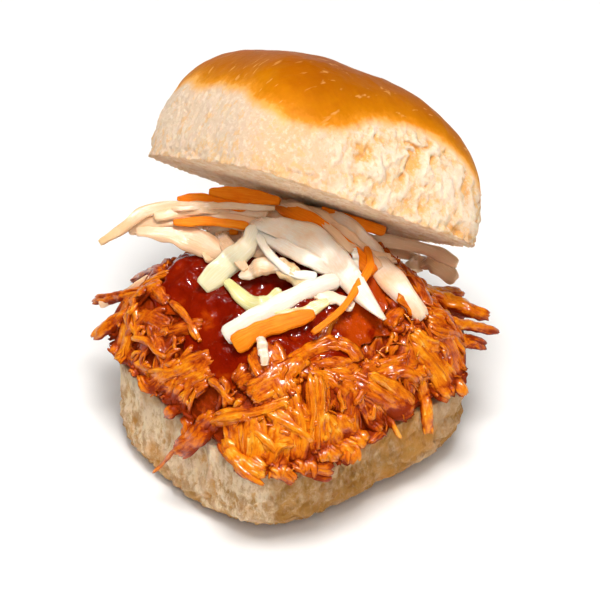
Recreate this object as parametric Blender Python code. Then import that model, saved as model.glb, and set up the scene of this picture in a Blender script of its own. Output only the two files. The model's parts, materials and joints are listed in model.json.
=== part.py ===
# An opened pulled chicken slider: a square soft roll cut in two, the lower half piled with sauced
# shredded chicken, a pool of barbecue sauce and coleslaw, and the upper half tipped back so that
# it leans on the pile with its far corner down. Metres, +Z up. The roll's sides lie along X and Y,
# the sandwich opens towards +X -Y, and the origin is the centre of its box, on the table.

import math
import random

import bmesh
import bpy
from mathutils import Matrix, Vector, noise

MM = 0.001
GAP = 0.3 * MM  # left between pieces that touch

# The roll, pulled from a tray of rolls, so its sides are torn crumb
ROLL_HALF = 35.4 * MM  # half the side of the square roll
ROLL_POWER = 4.8  # superellipse power of the plan, which rounds its corners
HEEL_HEIGHT = 24 * MM
HEEL_POWER = 4.6  # profile of the heel's rounded foot
HEEL_POWER_LEFT = 8.0  # and at its left, where it is nearly square
HEEL_FOOT_CUT = 1.03  # the foot is cut off flat just above the curve's lowest point
HEEL_SPREAD = Vector((6, -5)) * MM  # how far the soft foot has spread at its left corner
LEFT_FULL = 0.6  # share of the half side towards -Y where what is said of the left is full
LEFT_FADES = 0.9  # share towards +X where it has faded to nothing, near the corner at +X -Y
CROWN_HEIGHT = 35.2 * MM
CROWN_POWER = 2.6  # profile of the crown's dome
CROWN_LEAN = Vector((-1.5, -4.4)) * MM  # how far the dome's top has slumped, along its own axes
TORN_RELIEF = 0.9 * MM  # depth of the torn sides' hollows
TORN_ACROSS = 7 * MM  # size of those hollows along the sides
TORN_UP = 16 * MM  # and upwards, as the crumb tears into upright strands
SHOULDER = math.radians(50)  # where the grid of a rounded solid passes from its sides to its top

# How the upper half lies
LID_PLACE = Vector((-14.8, 16.9, 55.3)) * MM  # centre of its cut face
LID_TURN = math.radians(-14)  # about the vertical
LID_TILT = math.radians(46.5)  # how far it's tipped back
LID_TILT_TOWARDS = math.radians(119.3)  # the way it's tipped, from +X towards +Y

# The pile of chicken
HEAP_HALF = 35.2 * MM
HEAP_OUTLINE_POWER = 4.4
HEAP_POWER = 1.95  # profile of the pile
HEAP_HEIGHT = 25 * MM
HEAP_PEAK = Vector((-6, 7)) * MM  # plan place of its highest point
SHREDS_UP_TO = 2.9 * MM  # how far shreds may stand up from the bare pile
RIM_LEVEL = HEEL_HEIGHT + 1.9 * MM  # shreds cross the heel's edge at this level
HANG_FROM = ROLL_HALF + 2.2 * MM  # where shreds that cross the heel's edge begin to hang
HANG_SLOPE = 1.7
HANG_DOWN_TO = 14 * MM
SHRED_THICKNESS = (1.8 * MM, 2.2 * MM)
SHRED_WIDTH = (2.2 * MM, 3.4 * MM)
SHRED_LIFT = (0.3 * MM, 0.9 * MM)  # how far a shred's middle stands off what it lies on
SHRED_BEND = 3 * MM
SHRED_SPACING = 2.5 * MM  # between the shreds of a bundle
RIM_BUNDLES = 20  # bundles of three round the heel's edge
RIM_LENGTH = (12 * MM, 17 * MM)
UPPER_BUNDLES = 13  # bundles of two higher on the pile
UPPER_LENGTH = (11 * MM, 16 * MM)
UPPER_SHARE = 0.84  # how far out from the peak they lie
# The bundles that stick out at two corners: plan place, heading and length
CORNER_BUNDLES = (
    (Vector((26, 34)) * MM, math.radians(48), 22 * MM),
    (Vector((-33, -28)) * MM, math.radians(215), 20 * MM),
)

# The sauce pool on the pile: an oval with waves round it
POOL_CENTRE = Vector((-3.5, -3)) * MM
POOL_LONG = 29 * MM
POOL_SHORT = 21 * MM
POOL_TURN = math.radians(32)
POOL_LOBES = ((2, 1.2, 0.6), (3, 1.6, 2.2), (5, 1.4, 4.0), (7, 0.8, 1.0))  # waves, depth in mm, phase
POOL_DEPTH = 1.4 * MM
POOL_MARGIN = 0.04  # share of the pool's size that shreds keep clear of its edge

# The mound of coleslaw
SLAW_CENTRE = Vector((-8, 7)) * MM
SLAW_RADIUS = 17 * MM
SLAW_HEIGHT = 6 * MM
SLAW_FLOOR = SHREDS_UP_TO + GAP
SLAW_THICKNESS = 1.3 * MM
STRIP_BLUNT = 0.75  # share of a strip's width left at its ends
SHRED_BLUNT = 0.35

# Cabbage and carrot strips laid on the mound: places along each in mm, then its width in mm
SLAW_STRIPS = (
    (((-24, -2, 57), (-12, 4, 58), (-1, 9, 59), (6, 9, 56), (12, 11, 51), (22, 11, 46)), 5.6),
    (((-10, 15, 57), (1, 19, 56), (6, 22, 51), (12, 23, 47), (18, 24, 44), (24, 22, 41)), 5.2),
    (((-38, -30, 51), (-36, -24, 54), (-35, -18, 57), (-31, -11, 56), (-20, 0, 56)), 4.0),
    (((-35, -21, 52), (-27, -14, 52), (-17, -8, 51), (-10, 0, 54)), 6.6),
    (((-26, -10, 56), (-16, -8, 52), (-7, -6, 52)), 4.6),
    (((-14, -18, 46), (-13, -11, 50), (-11, -5, 55), (-12, 2, 57)), 4.8),
    (((-10, -1, 57), (-1, -2, 56), (7, 2, 54)), 3.0),
    (((-4, 1, 57), (2, 4, 56), (9, 7, 53)), 3.2),
    (((3, -23, 45), (5, -15, 49), (7, -6, 51), (9, 4, 52)), 4.4),
    (((-10, -14, 48), (0, -12, 49), (7, -8, 49)), 3.6),
    (((-7, -9, 51), (-4, -5, 53), (-1, -1, 54)), 3.6),
    (((8, 8, 50), (17, 12, 47), (25, 11, 44)), 3.4),
    (((-6, 24, 46), (-2, 33, 43), (5, 40, 41), (12, 42, 41)), 5.0),
    (((8, -24, 45), (11, -17, 47), (14, -11, 48), (16, -4, 49)), 3.6),
    (((6, 19, 52), (10, 14, 52), (15, 4, 49), (18, -6, 47)), 2.4),
    (((-33, -9, 55), (-28, -4, 56), (-20, 2, 57)), 4.4),
    (((-9, 16, 57), (-3, 22, 55), (1, 28, 51)), 3.8),
    (((1, 10, 57), (7, 15, 54), (11, 20, 50)), 4.8),
    (((-30, 6, 50), (-20, 10, 54), (-8, 10, 57)), 4.2),
    (((-12, 23, 48), (-9, 18, 52), (-4, 10, 57)), 4.2),
    (((-29, -3, 47), (-20, 4, 52), (-12, 12, 57)), 4.4),
    (((-8, 0, 40), (-2, -9, 40), (6, -19, 40)), 4.2),
    (((3, 7, 40), (12, -2, 40), (17, -9, 40)), 4.0),
    (((-4, 4, 40), (4, -5, 40), (11, -15, 40)), 4.6),
)


def roll_norm(x, y):
    """Half side of the roll outline that passes through a plan point."""
    return (abs(x) ** ROLL_POWER + abs(y) ** ROLL_POWER) ** (1 / ROLL_POWER)


def heap_share(x, y):
    """0 at the pile's peak and 1 at its outline: the rings between them shift towards the peak."""
    power = HEAP_OUTLINE_POWER
    share = 0.0
    for _ in range(12):
        keep = 1 - min(share, 1.0)
        across, along = abs(x - HEAP_PEAK.x * keep), abs(y - HEAP_PEAK.y * keep)
        share = (across**power + along**power) ** (1 / power) / HEAP_HALF
    return share


def heap_top(x, y):
    """Height of the bare pile above the table at a plan point."""
    share = min(heap_share(x, y), 1.0)
    rise = (1 - share**HEAP_POWER) ** (1 / HEAP_POWER)
    return HEEL_HEIGHT + GAP + HEAP_HEIGHT * rise


def drape(x, y):
    """Height the shreds lie at: on the pile, level across the heel's rim, then hanging outside it."""
    hang = max(0.0, roll_norm(x, y) - HANG_FROM) * HANG_SLOPE
    return max(heap_top(x, y), RIM_LEVEL) - hang


def upward(surface, x, y):
    """Outward normal of a surface given by its height."""
    step = 0.7 * MM
    slope_x = (surface(x + step, y) - surface(x - step, y)) / (2 * step)
    slope_y = (surface(x, y + step) - surface(x, y - step)) / (2 * step)
    return Vector((-slope_x, -slope_y, 1)).normalized()


def pool_edge(angle):
    """Waviness of the sauce's edge: 1 on the plain oval."""
    waves = sum(depth * math.sin(count * angle + phase) for count, depth, phase in POOL_LOBES)
    return 1 + waves * MM / POOL_SHORT


def pool_share(x, y):
    """0 at the sauce's centre and 1 at its edge."""
    away = Vector((x, y)) - POOL_CENTRE
    along = away.x * math.cos(POOL_TURN) + away.y * math.sin(POOL_TURN)
    across = away.y * math.cos(POOL_TURN) - away.x * math.sin(POOL_TURN)
    oval = Vector((along / POOL_LONG, across / POOL_SHORT))
    return oval.length / pool_edge(math.atan2(oval.y, oval.x))


def lid_matrix():
    """Turned about the vertical, then tipped back about the level line across the tilt."""
    hinge = Vector((-math.sin(LID_TILT_TOWARDS), math.cos(LID_TILT_TOWARDS), 0))
    turned = Matrix.Rotation(LID_TURN, 4, "Z")
    return Matrix.Translation(LID_PLACE) @ Matrix.Rotation(LID_TILT, 4, hinge) @ turned


def lid_underside(x, y):
    """Height of the tipped cut face above a plan point."""
    normal = lid_matrix().to_3x3() @ Vector((0, 0, 1))
    level = normal.x * (x - LID_PLACE.x) + normal.y * (y - LID_PLACE.y)
    return LID_PLACE.z - level / normal.z


def squircle(a, b, power):
    """Maps a point of the square -1..1 onto the superellipse, square ring to round ring."""
    ring = max(abs(a), abs(b))
    if ring == 0:
        return 0.0, 0.0
    reach = (abs(a) ** power + abs(b) ** power) ** (1 / power)
    return a * ring / reach, b * ring / reach


def domed(a, b, c, power):
    """Radius share and height share of a cube point whose sides and top are bent into a dome."""
    ring = max(abs(a), abs(b))
    if c < -0.999 and ring < 0.999:
        return ring, 0.0
    over = SHOULDER + (math.pi / 2 - SHOULDER) * (1 - ring)
    angle = SHOULDER * (c + 1) / 2 if ring > 0.999 else over
    return abs(math.cos(angle)) ** (2 / power), math.sin(angle) ** (2 / power)


def ring_direction(a, b, power):
    """Plan point of the superellipse's outline in the direction of a cube point."""
    ring = max(abs(a), abs(b))
    return squircle(a / ring, b / ring, power) if ring > 0 else (0.0, 0.0)


def mesh_object(name, mesh):
    bmesh.ops.recalc_face_normals(mesh, faces=mesh.faces[:])
    data = bpy.data.meshes.new(name)
    mesh.to_mesh(data)
    mesh.free()
    return bpy.data.objects.new(name, data)


def shaped_cube(name, cuts, shape):
    """A cube cut into a grid, each of whose points is moved by the shape function."""
    mesh = bmesh.new()
    bmesh.ops.create_cube(mesh, size=2)
    bmesh.ops.subdivide_edges(mesh, edges=mesh.edges[:], cuts=cuts, use_grid_fill=True)
    for vertex in mesh.verts:
        vertex.co = shape(*vertex.co)
    return mesh_object(name, mesh)


def torn(point, outward, amount, seed):
    """Moves a point of a torn side in or out: the crumb tears into upright strands and hollows."""
    at = Vector((point.x / TORN_ACROSS, point.y / TORN_ACROSS, point.z / TORN_UP + seed))
    return point + outward * amount * TORN_RELIEF * noise.noise(at) * 2


def left_share(plan_x, plan_y):
    """1 round the left corner and the side that faces -Y, fading to 0 at the other sides."""
    return min(max(-plan_y / LEFT_FULL, 0.0), 1.0) * min(max(1 - plan_x / LEFT_FADES, 0.0), 1.0)


def heel_shape(a, b, c):
    """The lower half: a flat cut on top, torn sides and a spread foot rounded in to a flat base."""
    plan_x, plan_y = ring_direction(a, b, ROLL_POWER)
    left = left_share(plan_x, plan_y)
    share, drop = domed(a, b, -c, HEEL_POWER + left * (HEEL_POWER_LEFT - HEEL_POWER))
    height = max(HEEL_HEIGHT * (1 - HEEL_FOOT_CUT * drop), 0.0)
    spread = HEEL_SPREAD * left * share * (1 - height / HEEL_HEIGHT) ** 2
    plan = Vector((plan_x, plan_y)) * share * ROLL_HALF + spread
    point = Vector((plan.x, plan.y, height))
    side = 1.0 if max(abs(a), abs(b)) > 0.999 and -0.95 < c < 0.95 else 0.0
    return torn(point, Vector((plan_x, plan_y, 0)).normalized(), side, 3.0)


def crown_shape(a, b, c):
    """The upper half in its own frame: a flat cut below, torn sides, and a dome that has slumped."""
    share, rise = domed(a, b, c, CROWN_POWER)
    plan_x, plan_y = ring_direction(a, b, ROLL_POWER)
    plan = Vector((plan_x, plan_y)) * share * ROLL_HALF + CROWN_LEAN * rise * rise
    point = Vector((plan.x, plan.y, CROWN_HEIGHT * rise))
    side = 1.0 if max(abs(a), abs(b)) > 0.999 and -0.95 < c < 0.6 else 0.0
    return torn(point, Vector((plan_x, plan_y, 0)).normalized(), side, 8.0)


def heap_shape(a, b, c):
    """The bare pile: flat underneath, and the same curve on top as heap_top gives."""
    share, rise = domed(a, b, c, HEAP_POWER)
    plan_x, plan_y = ring_direction(a, b, HEAP_OUTLINE_POWER)
    x = HEAP_PEAK.x * (1 - share) + plan_x * share * HEAP_HALF
    y = HEAP_PEAK.y * (1 - share) + plan_y * share * HEAP_HALF
    return Vector((x, y, HEEL_HEIGHT + GAP + HEAP_HEIGHT * rise))


def pool_shape(a, b, c):
    """The sauce: it follows the pile underneath, and its top swells and rounds off at its edge."""
    ring = max(abs(a), abs(b))
    along, across = squircle(a, b, 2)
    edge = pool_edge(math.atan2(across, along))
    along, across = along * edge * POOL_LONG, across * edge * POOL_SHORT
    x = POOL_CENTRE.x + along * math.cos(POOL_TURN) - across * math.sin(POOL_TURN)
    y = POOL_CENTRE.y + along * math.sin(POOL_TURN) + across * math.cos(POOL_TURN)
    swell = POOL_DEPTH * math.sqrt(1.12 - ring**4)
    bottom = heap_top(x, y) + 3 * GAP
    return Vector((x, y, bottom + swell * (c + 1) / 2))


def slaw_shape(a, b, c):
    """The slaw's core: it lies on the sauce, and the tipped half presses its top flat."""
    ring = max(abs(a), abs(b))
    plan_x, plan_y = squircle(a, b, 2)
    x = SLAW_CENTRE.x + plan_x * SLAW_RADIUS
    y = SLAW_CENTRE.y + plan_y * SLAW_RADIUS
    bottom = heap_top(x, y) + SLAW_FLOOR
    top = min(bottom + SLAW_HEIGHT * math.sqrt(1.05 - ring**2), lid_underside(x, y) - 4 * GAP)
    return Vector((x, y, bottom + (top - bottom) * (c + 1) / 2))


def smooth_path(points, count):
    """Evenly spaced places on a Catmull-Rom curve through the points."""
    padded = [points[0] * 2 - points[1], *points, points[-1] * 2 - points[-2]]
    places = []
    for i in range(count):
        along = i / (count - 1) * (len(points) - 1)
        start = min(int(along), len(points) - 2)
        t = along - start
        p0, p1, p2, p3 = padded[start : start + 4]
        bend = (p0 * 2 - p1 * 5 + p2 * 4 - p3) * t * t + (p1 * 3 - p0 - p2 * 3 + p3) * t * t * t
        places.append((p1 * 2 + (p2 - p0) * t + bend) / 2)
    return places


def strip(name, places, faces_up, width, thickness, blunt):
    """A box bent along a path. blunt is the share of its width left at the ends."""
    last = len(places) - 1
    mesh = bmesh.new()
    bmesh.ops.create_cube(mesh, size=2)
    long_edges = [e for e in mesh.edges if abs(e.verts[0].co.x - e.verts[1].co.x) > 1]
    bmesh.ops.subdivide_edges(mesh, edges=long_edges, cuts=last - 1)
    for vertex in mesh.verts:
        u, v, w = vertex.co
        i = round((u + 1) / 2 * last)
        ahead = (places[min(i + 1, last)] - places[max(i - 1, 0)]).normalized()
        side = faces_up[i].cross(ahead).normalized()
        up = ahead.cross(side)
        full = blunt + (1 - blunt) * math.sqrt(max(0.0, 1 - abs(u) ** 3))
        vertex.co = places[i] + side * (v * width / 2 * full) + up * (w * thickness / 2 * full)
    bmesh.ops.triangulate(mesh, faces=mesh.faces[:])
    return mesh_object(name, mesh)


def outside_heel(point, reach):
    """Pushes a point that hangs below the cut clear of the lower half's side."""
    if point.z > HEEL_HEIGHT + GAP + reach:
        return point
    norm = roll_norm(point.x, point.y)
    least = ROLL_HALF + TORN_RELIEF + GAP + reach
    if norm >= least:
        return point
    return Vector((point.x * least / norm, point.y * least / norm, point.z))


def below_lid(point, reach):
    """Lowers a point that would touch the tipped half."""
    top = lid_underside(point.x, point.y) - 2 * GAP - reach * 1.5
    return Vector((point.x, point.y, min(point.z, top)))


def shred(draw, middle, heading, length, width):
    """One shred of chicken draped over the pile and the heel's edge, or none if it meets the sauce."""
    along = Vector((math.cos(heading), math.sin(heading)))
    across = Vector((-along.y, along.x))
    bend = draw.uniform(-SHRED_BEND, SHRED_BEND)
    thickness = draw.uniform(*SHRED_THICKNESS)
    lift = draw.uniform(*SHRED_LIFT)
    places, ups = [], []
    for u in (-1, -0.5, 0, 0.5, 1):
        plan = middle + along * (u * length / 2) + across * (bend * (1 - u * u))
        if pool_share(plan.x, plan.y) < 1 + POOL_MARGIN + width / 2 / POOL_SHORT:
            return None
        up = upward(drape, plan.x, plan.y)
        place = Vector((plan.x, plan.y, drape(plan.x, plan.y))) + up * lift
        place = outside_heel(below_lid(place, thickness / 2), thickness / 2 + 0.4 * MM)
        if place.z < HANG_DOWN_TO:
            return None
        places.append(place)
        ups.append(up)
    return strip("shred", places, ups, width, thickness, SHRED_BLUNT)


def bundle(draw, middle, heading, length, number):
    """A few shreds that were torn off together: side by side, nearly parallel, with ragged ends."""
    made = []
    for k in range(number):
        turn = heading + draw.gauss(0, 0.16) + (k - (number - 1) / 2) * 0.12
        aside = Vector((-math.sin(heading), math.cos(heading))) * (k - (number - 1) / 2) * SHRED_SPACING
        slip = Vector((math.cos(heading), math.sin(heading))) * draw.uniform(-3, 3) * MM
        size = length * draw.uniform(0.8, 1.15)
        made.append(shred(draw, middle + aside + slip, turn, size, draw.uniform(*SHRED_WIDTH)))
    return [one for one in made if one]


def chicken_shreds(draw):
    """Bundles round the heel's edge, which stick out and hang, and others higher on the pile."""
    made = []
    for k in range(RIM_BUNDLES):
        angle = (k + draw.uniform(-0.3, 0.3)) * 2 * math.pi / RIM_BUNDLES
        edge = Vector(ring_direction(math.cos(angle), math.sin(angle), ROLL_POWER)) * ROLL_HALF
        heading = angle + draw.choice((-1, 1)) * draw.uniform(0.3, 1.5)
        made += bundle(draw, edge * draw.uniform(0.9, 1.01), heading, draw.uniform(*RIM_LENGTH), 3)
    for k in range(UPPER_BUNDLES):
        angle = (k + draw.uniform(-0.4, 0.4)) * 2 * math.pi / UPPER_BUNDLES
        edge = Vector(ring_direction(math.cos(angle), math.sin(angle), HEAP_OUTLINE_POWER)) * HEAP_HALF
        heading = angle + math.pi / 2 + draw.gauss(0, 0.6)
        middle = HEAP_PEAK * (1 - UPPER_SHARE) + edge * UPPER_SHARE
        made += bundle(draw, middle, heading, draw.uniform(*UPPER_LENGTH), 2)
    for middle, heading, length in CORNER_BUNDLES:
        made += bundle(draw, middle, heading, length, 3)
    return made


def slaw_strips():
    """The laid strips, each kept above the chicken and below the tipped half."""
    made = []
    for points, width in SLAW_STRIPS:
        places, ups = [], []
        for place in smooth_path([Vector(p) * MM for p in points], 3 + len(points)):
            outward = upward(heap_top, place.x, place.y)
            stand = (SLAW_FLOOR + SLAW_THICKNESS * 0.7) / max(outward.z, 0.5)
            place.z = max(place.z, heap_top(place.x, place.y) + stand)
            places.append(below_lid(place, SLAW_THICKNESS / 2 + 0.7 * MM))
            ups.append((outward + Vector((0, 0, 1))).normalized())
        made.append(strip("slaw_strip", places, ups, width * MM, SLAW_THICKNESS, STRIP_BLUNT))
    return made


def fuse(core, pieces):
    """One Boolean union of the core with all its pieces; closed-off hollows and scraps are dropped."""
    bpy.context.scene.collection.objects.link(core)
    shreds = bpy.data.collections.new(core.name + "_pieces")
    bpy.context.scene.collection.children.link(shreds)
    for piece in pieces:
        shreds.objects.link(piece)
    join = core.modifiers.new("fused", "BOOLEAN")
    join.operation = "UNION"
    join.operand_type = "COLLECTION"
    join.collection = shreds
    join.solver = "EXACT"
    bpy.context.view_layer.update()
    whole = core.evaluated_get(bpy.context.evaluated_depsgraph_get())
    mesh = bmesh.new()
    mesh.from_mesh(whole.to_mesh())
    keep_largest_shell(mesh)
    bmesh.ops.triangulate(mesh, faces=mesh.faces[:])
    core.modifiers.clear()
    mesh.to_mesh(core.data)
    mesh.free()
    for piece in pieces:
        bpy.data.objects.remove(piece)
    bpy.data.collections.remove(shreds)
    bpy.context.scene.collection.objects.unlink(core)


def keep_largest_shell(mesh):
    """Deletes every shell but the one with the most faces."""
    left = set(mesh.faces)
    shells = []
    while left:
        frontier = [left.pop()]
        shell = set(frontier)
        while frontier:
            face = frontier.pop()
            near = {f for e in face.edges for f in e.link_faces if f in left}
            left -= near
            shell |= near
            frontier.extend(near)
        shells.append(shell)
    largest = max(shells, key=len)
    spare = [f for shell in shells if shell is not largest for f in shell]
    bmesh.ops.delete(mesh, geom=spare, context="FACES")


def material(name, colour, roughness):
    finish = bpy.data.materials.new(name)
    finish.use_nodes = True
    shader = finish.node_tree.nodes["Principled BSDF"]
    shader.inputs["Base Color"].default_value = (*colour, 1)
    shader.inputs["Roughness"].default_value = roughness
    shader.inputs["Metallic"].default_value = 0
    return finish


def place(parts, piece, finish):
    parts.objects.link(piece)
    piece.data.materials.clear()
    piece.data.materials.append(finish)
    piece.data.shade_smooth()
    piece.data.set_sharp_from_angle(angle=math.radians(40))
    return piece


def centre_on_origin(pieces):
    """Moves all the pieces together until their box stands centred on the origin."""
    bpy.context.view_layer.update()
    corners = [piece.matrix_world @ v.co for piece in pieces for v in piece.data.vertices]
    low = Vector([min(c[i] for c in corners) for i in range(3)])
    high = Vector([max(c[i] for c in corners) for i in range(3)])
    shift = Vector((-(low.x + high.x) / 2, -(low.y + high.y) / 2, -low.z))
    for piece in pieces:
        piece.location += shift


def main():
    for old in list(bpy.data.objects):
        bpy.data.objects.remove(old)
    parts = bpy.data.collections.new("chicken_slider")
    bpy.context.scene.collection.children.link(parts)
    draw = random.Random(48)

    heel = shaped_cube("heel", 9, heel_shape)
    chicken = shaped_cube("chicken", 11, heap_shape)
    sauce = shaped_cube("sauce", 6, pool_shape)
    slaw = shaped_cube("slaw", 4, slaw_shape)
    crown = shaped_cube("crown", 9, crown_shape)
    crown.matrix_world = lid_matrix()

    fuse(chicken, chicken_shreds(draw))
    fuse(slaw, slaw_strips())

    pieces = [
        place(parts, heel, material("pale_crumb", (0.78, 0.62, 0.42), 0.8)),
        place(parts, chicken, material("sauced_chicken", (0.75, 0.24, 0.04), 0.4)),
        place(parts, sauce, material("red_sauce", (0.35, 0.03, 0.01), 0.2)),
        place(parts, slaw, material("cabbage", (0.85, 0.8, 0.66), 0.4)),
        place(parts, crown, material("golden_crust", (0.68, 0.3, 0.06), 0.45)),
    ]
    centre_on_origin(pieces)


main()
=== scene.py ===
# The looks of an opened pulled chicken slider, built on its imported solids.
# Shapes are worked out in millimetres in the lower half's own frame: X and Y along its sides,
# Z up from its foot and the origin under its middle. Meshes are stored in metres in the part's frame.

import json
import math
import bpy
import numpy as np
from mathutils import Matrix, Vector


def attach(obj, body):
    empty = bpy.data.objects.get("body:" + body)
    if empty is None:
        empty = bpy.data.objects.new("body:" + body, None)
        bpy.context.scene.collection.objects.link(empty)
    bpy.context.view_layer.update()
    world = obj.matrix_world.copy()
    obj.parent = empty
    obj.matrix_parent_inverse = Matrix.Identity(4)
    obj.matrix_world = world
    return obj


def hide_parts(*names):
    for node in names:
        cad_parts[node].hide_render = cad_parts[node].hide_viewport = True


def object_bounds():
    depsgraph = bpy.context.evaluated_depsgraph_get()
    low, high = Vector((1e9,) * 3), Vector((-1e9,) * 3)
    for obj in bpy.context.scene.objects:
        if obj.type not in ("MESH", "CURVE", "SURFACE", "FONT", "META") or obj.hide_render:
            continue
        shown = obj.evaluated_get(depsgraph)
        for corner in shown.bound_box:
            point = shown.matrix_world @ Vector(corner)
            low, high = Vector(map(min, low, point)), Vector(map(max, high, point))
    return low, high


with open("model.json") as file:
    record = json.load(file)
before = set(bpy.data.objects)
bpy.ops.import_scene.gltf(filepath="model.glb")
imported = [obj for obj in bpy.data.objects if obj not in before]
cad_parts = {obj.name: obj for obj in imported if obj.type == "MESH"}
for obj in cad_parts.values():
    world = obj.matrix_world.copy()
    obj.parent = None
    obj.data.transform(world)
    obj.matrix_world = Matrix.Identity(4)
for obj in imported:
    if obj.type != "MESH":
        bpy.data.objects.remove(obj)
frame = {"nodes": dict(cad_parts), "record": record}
cadLow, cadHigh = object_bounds()
print("frame loaded:", sorted(frame["nodes"]))

mm = 0.001
heelMiddle = np.array(frame["record"]["mounts"][0]["pos_m"], dtype=float)
cadLowMm = (np.array(cadLow) - heelMiddle) / mm
cadHighMm = (np.array(cadHigh) - heelMiddle) / mm

photo = {
    "azimuth": 52.5,  # degrees round from looking along +Y
    "elevation": 40.0,
    "pixelsPerMm": 2.286,
    "heelPixel": (370.2, 384.8),  # where the middle of the heel's foot is seen
    "framePixels": (375.0, 310.0, 340.0),  # middle and side of the square that the render shows
    "distance": 1.6,  # metres from the camera to the food
    "sight": (130, -60, -0.4),  # mm along a line of sight where it is tried: first, last and step
}


def viewAxes():
    # unit vectors to the camera's right, up, and back towards it
    azimuth, elevation = math.radians(photo["azimuth"]), math.radians(photo["elevation"])
    level = np.array([math.sin(azimuth), -math.cos(azimuth), 0])
    back = level * math.cos(elevation) + np.array([0, 0, math.sin(elevation)])
    right = np.array([math.cos(azimuth), math.sin(azimuth), 0])
    return right, np.cross(back, right), back


# Small formulas on whole arrays of points

def latticeNoise(points, cell, seed):
    # random numbers from -1 to 1 on a cubic lattice, blended between its corners by 3t^2 - 2t^3
    scaled = points / cell
    base = np.floor(scaled).astype(np.int64)
    blend = scaled - base
    blend = blend * blend * (3 - 2 * blend)
    total = np.zeros(points.shape[:-1])
    for corner in range(8):
        step = np.array([corner & 1, corner >> 1 & 1, corner >> 2 & 1])
        total += hashed(base + step, seed) * np.prod(np.where(step == 1, blend, 1 - blend), axis=-1)
    return total


def hashed(cells, seed):
    # a number from -1 to 1 for each whole-numbered cell
    mixed = (cells[..., 0] * 73856093) ^ (cells[..., 1] * 19349663) ^ (cells[..., 2] * 83492791)
    mixed = (mixed ^ (seed * 7919 + 374761393)) & 0xFFFFFFFF
    mixed = ((mixed ^ (mixed >> 15)) * 2246822519) & 0xFFFFFFFF
    mixed = ((mixed ^ (mixed >> 13)) * 3266489917) & 0xFFFFFFFF
    return ((mixed ^ (mixed >> 16)) & 0xFFFF) / 32767.5 - 1


def cloudNoise(points, cell, seed, layers=3):
    # sum of lattice noises, each at half the size and half the height of the one before
    total = np.zeros(points.shape[:-1])
    for k in range(layers):
        total += latticeNoise(points, cell / 2**k, seed + k) / 2**k
    return total


def noiseSum(points, table):
    # noises added together, each by its size in mm, seed, layers and height
    return sum(cloudNoise(points, size, seed, layers) * height for size, seed, layers, height in table)


def cellDistance(points, cell, seed):
    # distance, in cells, from each point to the nearest of one random point per lattice cell
    scaled = points / cell
    base = np.floor(scaled).astype(np.int64)
    nearest = np.full(points.shape[:-1], 9.0)
    for k in range(27):
        step = np.array([k % 3 - 1, k // 3 % 3 - 1, k // 9 - 1])
        there = base + step
        place = there + np.stack([hashed(there, seed + j) for j in range(3)], axis=-1) * 0.45 + 0.5
        nearest = np.minimum(nearest, np.linalg.norm(scaled - place, axis=-1))
    return nearest


def smoothStep(low, high, value):
    # 0 below low and 1 above high, joined by 3t^2 - 2t^3
    t = np.clip((value - low) / (high - low), 0, 1)
    return t * t * (3 - 2 * t)


def unit(vectors):
    # each vector divided by its own length
    return vectors / np.linalg.norm(vectors, axis=-1, keepdims=True)


def raised(plan, height):
    # plan points with their heights as third coordinate
    return np.concatenate([plan, np.broadcast_to(height, plan.shape[:-1])[..., None]], axis=-1)


def ringAngles(count):
    # evenly spaced angles round a full turn, the last one short of the first
    return np.linspace(0, 2 * math.pi, count, endpoint=False)


# Meshes from rings

def withHubs(values):
    # a row for each vertex of the rings, and after them the means of each piece's first and last ring
    hubs = np.stack([values[:, 0].mean(axis=1), values[:, -1].mean(axis=1)], axis=1)
    return np.concatenate([part.reshape(-1, *values.shape[3:]) for part in (values, hubs)])


def tubeMesh(name, rings, fields):
    # rings is pieces x stations x around x 3, in millimetres in the lower half's frame: each piece is a
    # closed skin through its rings, which run anticlockwise seen from its far end, and each end is closed
    # by a fan round a hub; each of fields becomes a number stored at the vertices
    pieces, stations, around = rings.shape[:3]
    ids = np.arange(pieces * stations * around).reshape(pieces, stations, around)
    nextIds = np.roll(ids, -1, axis=2)
    hub = ids.size + 2 * np.arange(pieces)[:, None] + 0 * ids[:, 0]
    quads = np.stack([ids[:, :-1], nextIds[:, :-1], nextIds[:, 1:], ids[:, 1:]], axis=-1)
    startFan = np.stack([hub, nextIds[:, 0], ids[:, 0]], axis=-1)
    endFan = np.stack([hub + 1, ids[:, -1], nextIds[:, -1]], axis=-1)
    corners = np.concatenate([part.ravel() for part in (quads, startFan, endFan)]).astype(np.int32)
    fanStarts = np.arange(quads.size, corners.size, 3)
    starts = np.concatenate([np.arange(0, quads.size, 4), fanStarts]).astype(np.int32)
    points = withHubs(rings) * mm + heelMiddle
    mesh = bpy.data.meshes.new(name)
    mesh.vertices.add(len(points))
    mesh.vertices.foreach_set("co", points.astype(np.float32).ravel())
    mesh.loops.add(len(corners))
    mesh.loops.foreach_set("vertex_index", corners)
    mesh.polygons.add(len(starts))
    mesh.polygons.foreach_set("loop_start", starts)
    mesh.polygons.foreach_set("use_smooth", np.ones(len(starts), dtype=bool))
    mesh.update(calc_edges=True)
    for key, field in fields.items():
        layer = mesh.attributes.new(key, "FLOAT", "POINT")
        layer.data.foreach_set("value", withHubs(np.broadcast_to(field, ids.shape)).astype(np.float32))
    piece = bpy.data.objects.new(name, mesh)
    bpy.context.scene.collection.objects.link(piece)
    print("made", name, "with", quads.size // 2 + len(fanStarts), "triangles")
    return piece


def dress(piece, material, node=None):
    # gives a piece its material and its place on the part, and hides the node that it stands for
    piece.data.materials.append(material)
    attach(piece, "root")
    if node:
        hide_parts(node)
    return piece


# Shaders

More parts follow.
